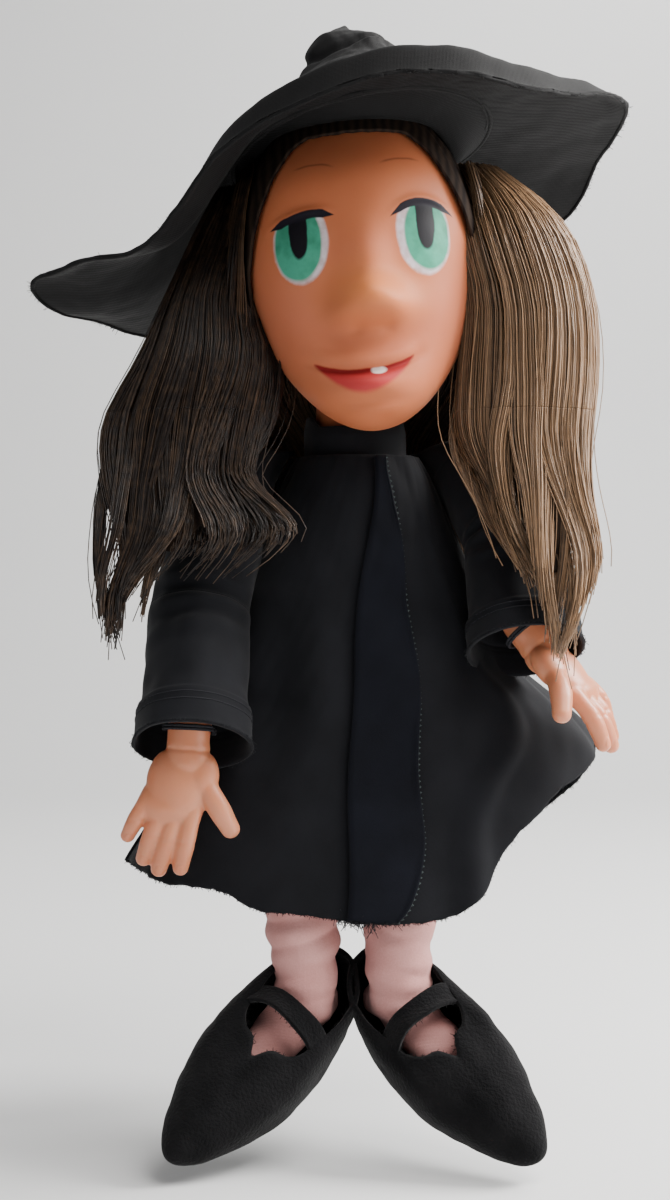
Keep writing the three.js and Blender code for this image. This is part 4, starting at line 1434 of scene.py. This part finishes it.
# ---- hat --------------------------------------------------------------------------------------------
# rim of the floppy brim from the front to the puppet's left: x, y, top and height of its lip
RIM = [
    (9, -88, 314, 10), (40, -84, 315, 10), (72, -64, 314, 8), (105, -22, 316.5, 3), (102, 30, 305, 0),
    (90, 62, 286, 0), (50, 92, 270, 0), (4, 97, 262, 0), (-50, 84, 248, 0), (-87, 48, 235, 0),
    (-108, 24, 238, 0), (-129, -1, 244, 1), (-114, -20, 256, 3), (-84, -38, 254, 1), (-67, -53, 267, 2),
    (-50, -68, 290, 7), (-22, -82, 306, 10),
]
BAND_X, BAND_Y, BAND_Z = 2.0, -3.0, 300.0
BAND_HALF_WIDTH, BAND_HALF_DEPTH = 51.5, 52.5
BAND_SLOPE, BAND_BACK = 0.2, -0.16
CROWN_HEIGHT = 49.0
CROWN_FOOT_R = 51.0
crown_radius_at = lookup(
    [[0, CROWN_FOOT_R], [12, 47.5], [21, 36], [28, 26], [34, 21], [39, 19], [44, 15.5], [47.5, 10], [49, 4]]
)


def band_point(angle, grow=0.0):
    """Where brim and crown meet; angle 0 is the front, growing to the puppet's left."""
    x = (BAND_HALF_WIDTH + grow) * np.sin(angle)
    y = -(BAND_HALF_DEPTH + grow) * np.cos(angle)
    return np.stack([BAND_X + x, BAND_Y + y, BAND_Z + x * BAND_SLOPE + y * BAND_BACK], -1)


def hat_lining(angle, band, rows):
    """The inside of the hat, from the hairline to the band."""
    polar = mix(1.02, 0.76, smooth(0.5, -0.6, -np.cos(angle)))
    hairline = head_to_world(egg(toward(polar, angle - math.pi / 2), 3.6))
    v = np.linspace(0, 1, rows, endpoint=False)[:, None, None]
    inner = mix(hairline, band, v)
    inner[..., 2] += 3.0 * np.sin(math.pi * v[..., 0])
    return inner


def make_brim():
    columns, rows = 420, 84
    rim = spline(RIM, columns, closed=True)
    angle = np.arctan2(rim[:, 0] - BAND_X, -(rim[:, 1] - BAND_Y))
    band = band_point(angle, 0.4)
    out = steps(rows)
    grid = mix(band, rim[:, :3], out[..., None])
    x, y, z = np.moveaxis(grid, -1, 0)
    lip = np.maximum(rim[:, 3], 0)
    z -= lip * smooth(0.82, 1, out)
    back = smooth(0.6, 1.6, np.abs((turns(columns) + math.pi) % TAU - math.pi))
    z += 4.0 * np.sin(math.pi * out) * (0.3 - 0.9 * back)
    free = smooth(0.05, 0.6, out)
    slanted = np.stack([x * 0.35 + y * 0.9, x * 0.05, z * 0.1], -1)
    flatter = [1, 1, 0.3]
    z += 1.2 * free * ripple(grid * flatter, 46, 170, 2) + 0.9 * free * ripple(slanted, 15, 171, 2)
    z += 0.3 * ripple(grid * flatter, 9, 172, 3)
    z -= 13.0 * hump(angle + math.pi / 2, 0.65) * np.sin(math.pi * out**1.2)
    z += 4.0 * bell(x, y, -120, -8, 14, 17) * np.sin((y + 14) / 7.0)
    grid[-1] += 0.5 * ripple(grid[-1], 5, 173, 2)[:, None] * unit(grid[-1] - grid[-2])
    grid = np.concatenate([hat_lining(angle, band, 16), grid])

    brim = sheet("brim", grid, HAT, wrap=True, thickness=1.2)
    recalculate(brim)
    away = loop(unit(grid[-1] - grid[-3]))
    fray = edge_fibres(loop(grid[-1]), away, 900, 1.7, 0.1, 174, HAT, "fray", spread=0.7)
    hem = tubes("hem", loop(grid[-2]), 0.75, HAT, sides=8)
    brim = join("hat_brim_cloth", [brim, fray, hem])
    finish(brim, "head", "hat_brim", slot="hat_cloth")


def make_crown():
    columns, rows = 260, 110
    turn = turns(columns)[None, :]
    t = np.linspace(0, 1, rows)[:, None]
    height = CROWN_HEIGHT * t
    radius = crown_radius_at(height) / CROWN_FOOT_R
    top = smooth(22, 50, height)
    stand = band_point(turn, -0.4)
    spiral = np.sin(3 * turn + height / 7.0) + 0.6 * np.sin(5 * turn - height / 5.0 + 1.0)
    radius = radius * (1 + top * 0.07 * spiral)
    x = BAND_X + (stand[..., 0] - BAND_X) * radius - 5 * top + 3.0 * top * np.sin(height / 6.0)
    y = BAND_Y + (stand[..., 1] - BAND_Y) * radius + 6 * top
    z = mix(BAND_Z, stand[..., 2], radius) + height * (1 - 0.10 * top * np.sin(turn + 0.4))
    grid = np.stack([x + 0 * z, y + 0 * z, z], -1)
    crease = hump(height - 38 - 4 * np.sin(turn * 2), 1.8)
    slack = 0.5 * ripple(grid, 9, 180, 3) + 1.3 * top * ripple(grid, 11, 181, 2) - 1.8 * crease
    grid = pushed(grid, True, slack * (1 - smooth(0.86, 0.96, t)) - 0.3)
    shell = sheet("crown", grid, HAT, wrap=True, thickness=1.2)
    knob = ellipsoid(grid[-5].mean(axis=0) - [0, 0, 0.5], np.eye(3), (8.4, 8.4, 3.0))
    knob = closed_grid("knob", knob, HAT)
    ring = band_point(np.linspace(0, TAU, 400), 0.2)
    seam = tubes("seam", ring + [0, 0, 0.4], 1.0, HAT, sides=8)
    recalculate(shell)
    crown = join("hat_crown_cloth", [shell, knob, seam])
    finish(crown, "head", "hat_crown", slot="hat_cloth")


make_brim()
make_crown()


# ---- hair -------------------------------------------------------------------------------------------
# each lock: height, centre x and y, half width, half thickness, and how far its sides bend back; the back
# hair goes round the head in an arc, so its last number is the half depth of the arc
LOCKS = {
    "right": [
        (286, -44, -6, 10, 4, 4), (262, -50, -14, 16, 6, 8), (239, -56, -22, 19, 8, 10),
        (216, -57, -30, 27, 9, 12), (190, -64, -35, 31, 10, 10), (167, -68, -42, 27, 9, 6),
        (145, -68, -50, 24, 8, 4), (122, -80, -54, 11, 6, 2), (100, -84, -55, 6, 3, 0),
    ],
    "left": [
        (294, 44, -8, 12, 4, 4), (276, 55, -18, 20, 7, 5), (258, 61, -26, 24, 8, 3),
        (235, 67, -29, 25, 9, 6), (205, 67, -34, 27, 10, 10), (182, 65, -40, 27, 10, 8),
        (160, 67, -48, 21, 9, 5), (137, 71, -56, 15, 7, 3),
        (118, 73, -62, 8, 5, 0), (100, 73, -64, 4, 3, 0),
    ],
    "back": [
        (292, 2, -3, 46, 3, 43), (275, 2, -4, 50, 4, 48), (255, 2, -5, 52, 5, 53), (235, 2, -4, 53, 6, 55),
        (215, 1, -2, 54, 7, 56), (194, 0, 2, 54, 8, 53), (170, 0, 5, 51, 8, 47), (150, 0, 6, 50, 7, 40),
        (130, 0, 8, 48, 4, 34),
    ],
}
# for each lock: its nodes above and below the split, number of clumps, end of its core, and its painted
# light: how lit or shaded its strands are painted, with the puppet's right lock in painted shade and its
# left lock lit
PLANS = {
    "right": ("hair_upper_right", "hair_lower_right", 30, 140, 0.04),
    "left": ("hair_upper_left", "hair_lower_left", 30, 132, 0.66),
    "back": ("hair_back", "hair_lower_back", 34, 152, 0.25),
}
STRANDS = 2800
HAIR_POINTS = 11
STRAND_R = 0.23
# where a half of the hair would start and stop to bend between its two bodies, in metres; nothing here
# bends it
UPPER_BEND = ((0, 0, 0.194), (0, 0, 0.235))
LOWER_BEND = ((0, 0, 0.150), (0, 0, 0.190))
# height in which the wave of a strand turns by one radian
WAVE_LENGTH = 21.0
# every strand has one more ring this far along from the split, so that its flat end doesn't shade its side
SPLIT_STEP = 0.006


def lock_frame(name):
    rows = np.array(LOCKS[name], float)
    columns = [lookup(rows[:, [0, k]]) for k in range(1, 6)]
    return lambda z: [column(z) for column in columns]


def lock_surface(name, across, depth, z):
    """Point of a lock: across and depth from -1 to 1, at a height."""
    x, y, half_width, half_thick, back = lock_frame(name)(z)
    if name == "back":
        turn = across * mix(2.05, 1.05, smooth(218, 182, z))
        x = x + (half_width + depth * half_thick) * np.sin(turn)
        y = y + (back + depth * half_thick) * np.cos(turn)
        return np.stack([x, y, z], -1)
    return np.stack([x + across * half_width, y + back * across**2 + depth * half_thick, z], -1)


def strand_ends(name, across, rng):
    """Height at which each strand stops."""
    jitter = rng.normal(size=across.shape)
    if name == "right":
        return mix(150, 121, smooth(0.3, -0.7, across)) + 7 * jitter
    if name == "left":
        return 146 - 32 * hump(across - 0.3, 0.35) + 8 * jitter
    return 148 - 6 * across**2 + 5 * jitter


def hair_strands(name, count, clumps, seed, painted_lock_light):
    """Paths of the strands above and below the split, and a shade for each: the lock's painted light or
    painted shade, varied at random by strand and clump.
    """
    rng = np.random.default_rng(seed)
    across = rng.uniform(-1, 1, count)
    depth = rng.uniform(-1, 1, count) * np.sqrt(1 - 0.8 * across**2)
    ends = np.minimum(strand_ends(name, across, rng), HAIR_SPLIT_Z - 14)
    top = LOCKS[name][0][0] - rng.uniform(0, 6, count)
    middles = rng.uniform(-1, 1, (clumps, 2)) * [0.95, 0.8]
    away = (across[:, None] - middles[:, 0]) ** 2 + 0.4 * (depth[:, None] - middles[:, 1]) ** 2
    order = np.argmin(away, axis=1)
    phase = rng.uniform(0, TAU, (clumps, 2))
    swing = rng.uniform(0.7, 1.3, clumps)
    wander = rng.normal(size=(count, 4))
    pieces = []
    t = np.linspace(0, 1, HAIR_POINTS)
    split = np.full(count, HAIR_SPLIT_Z)
    above = (top, split, np.insert(t, -1, 1 - SPLIT_STEP))
    below = (split, ends, np.insert(t, 1, SPLIT_STEP))
    for start, stop, along in (above, below):
        z = mix(start[:, None], stop[:, None], along[None, :])
        low = smooth(235, 130, z)
        gather = 0.5 * smooth(205, 135, z)
        a = mix(across[:, None], middles[order, :1], gather)
        d = mix(depth[:, None], middles[order, 1:], gather)
        path = lock_surface(name, a, d, z)
        wave = z / WAVE_LENGTH
        reach = (0.5 + 4.6 * low) * swing[order][:, None]
        path[..., 0] += reach * np.sin(wave + phase[order, :1] + 0.12 * wander[:, :1])
        path[..., 1] += 0.6 * reach * np.cos(wave * 0.8 + phase[order, 1:] + 0.12 * wander[:, 1:2])
        loose = smooth(1.9, 2.6, np.abs(wander[:, 2:3]))
        path[..., 0] += wander[:, 3:4] * (0.6 + 3.5 * loose) * smooth(285, 200, z)
        if name == "right":
            path[..., 0] += 17 * smooth(0.1, 0.9, a) * smooth(172, 145, z)
        pieces.append(path)
    # painted light and shade: a lock's strands are lit or shaded through their colour; the spread adds a
    # random tone
    spread = 0.05 + 0.22 * painted_lock_light
    shade = np.clip(painted_lock_light + spread * (wander[:, 0] + rng.normal(size=clumps)[order]), 0, 1)
    return pieces, shade


def strand_mesh(path, shade):
    obj = tubes("strands", path, STRAND_R, HAIR, sides=3)
    attribute = obj.data.attributes.new("strand", "FLOAT", "POINT")
    attribute.data.foreach_set("value", np.repeat(shade, path.shape[1] * 3))
    return obj


def lock_core(name, low, high):
    """The dense inside of a lock between two heights, painted dark as hair in shade."""
    z = np.linspace(low, high, 40)[:, None]
    a = turns(64)[None, :]
    reach = 0.9 if name == "back" else 0.66
    grid = lock_surface(name, reach * np.cos(a) + 0 * z, 0.42 * np.sin(a) + 0 * z, z + 0 * a)
    narrow = np.minimum(smooth(low - 1, low + 22, z), 1) if low < HAIR_SPLIT_Z - 1 else np.ones_like(z)
    centre = grid.mean(axis=1, keepdims=True)
    grid = centre + (grid - centre) * (0.25 + 0.75 * narrow)[..., None]
    comb = grid * [1, 1, 0.05]
    return closed_grid(f"core_{name}", pushed(grid, True, 0.6 * ripple(comb, 4, 190, 2)), SHADED_HAIR)


def make_hair():
    for seed, (name, (upper, lower, clumps, core_low, painted_lock_light)) in enumerate(PLANS.items()):
        (above, below), shade = hair_strands(name, STRANDS, clumps, 200 + seed, painted_lock_light)
        core = lock_core(name, HAIR_SPLIT_Z, LOCKS[name][0][0] - 4)
        high = join(upper + "_strands", [strand_mesh(above, shade), core])
        finish(high, "neck", upper, slot="hair", blend=("head", *UPPER_BEND))
        core = lock_core(name, core_low, HAIR_SPLIT_Z)
        low = join(lower + "_strands", [strand_mesh(below, shade), core])
        finish(low, "glove", lower, slot="hair", blend=("neck", *LOWER_BEND))


make_hair()
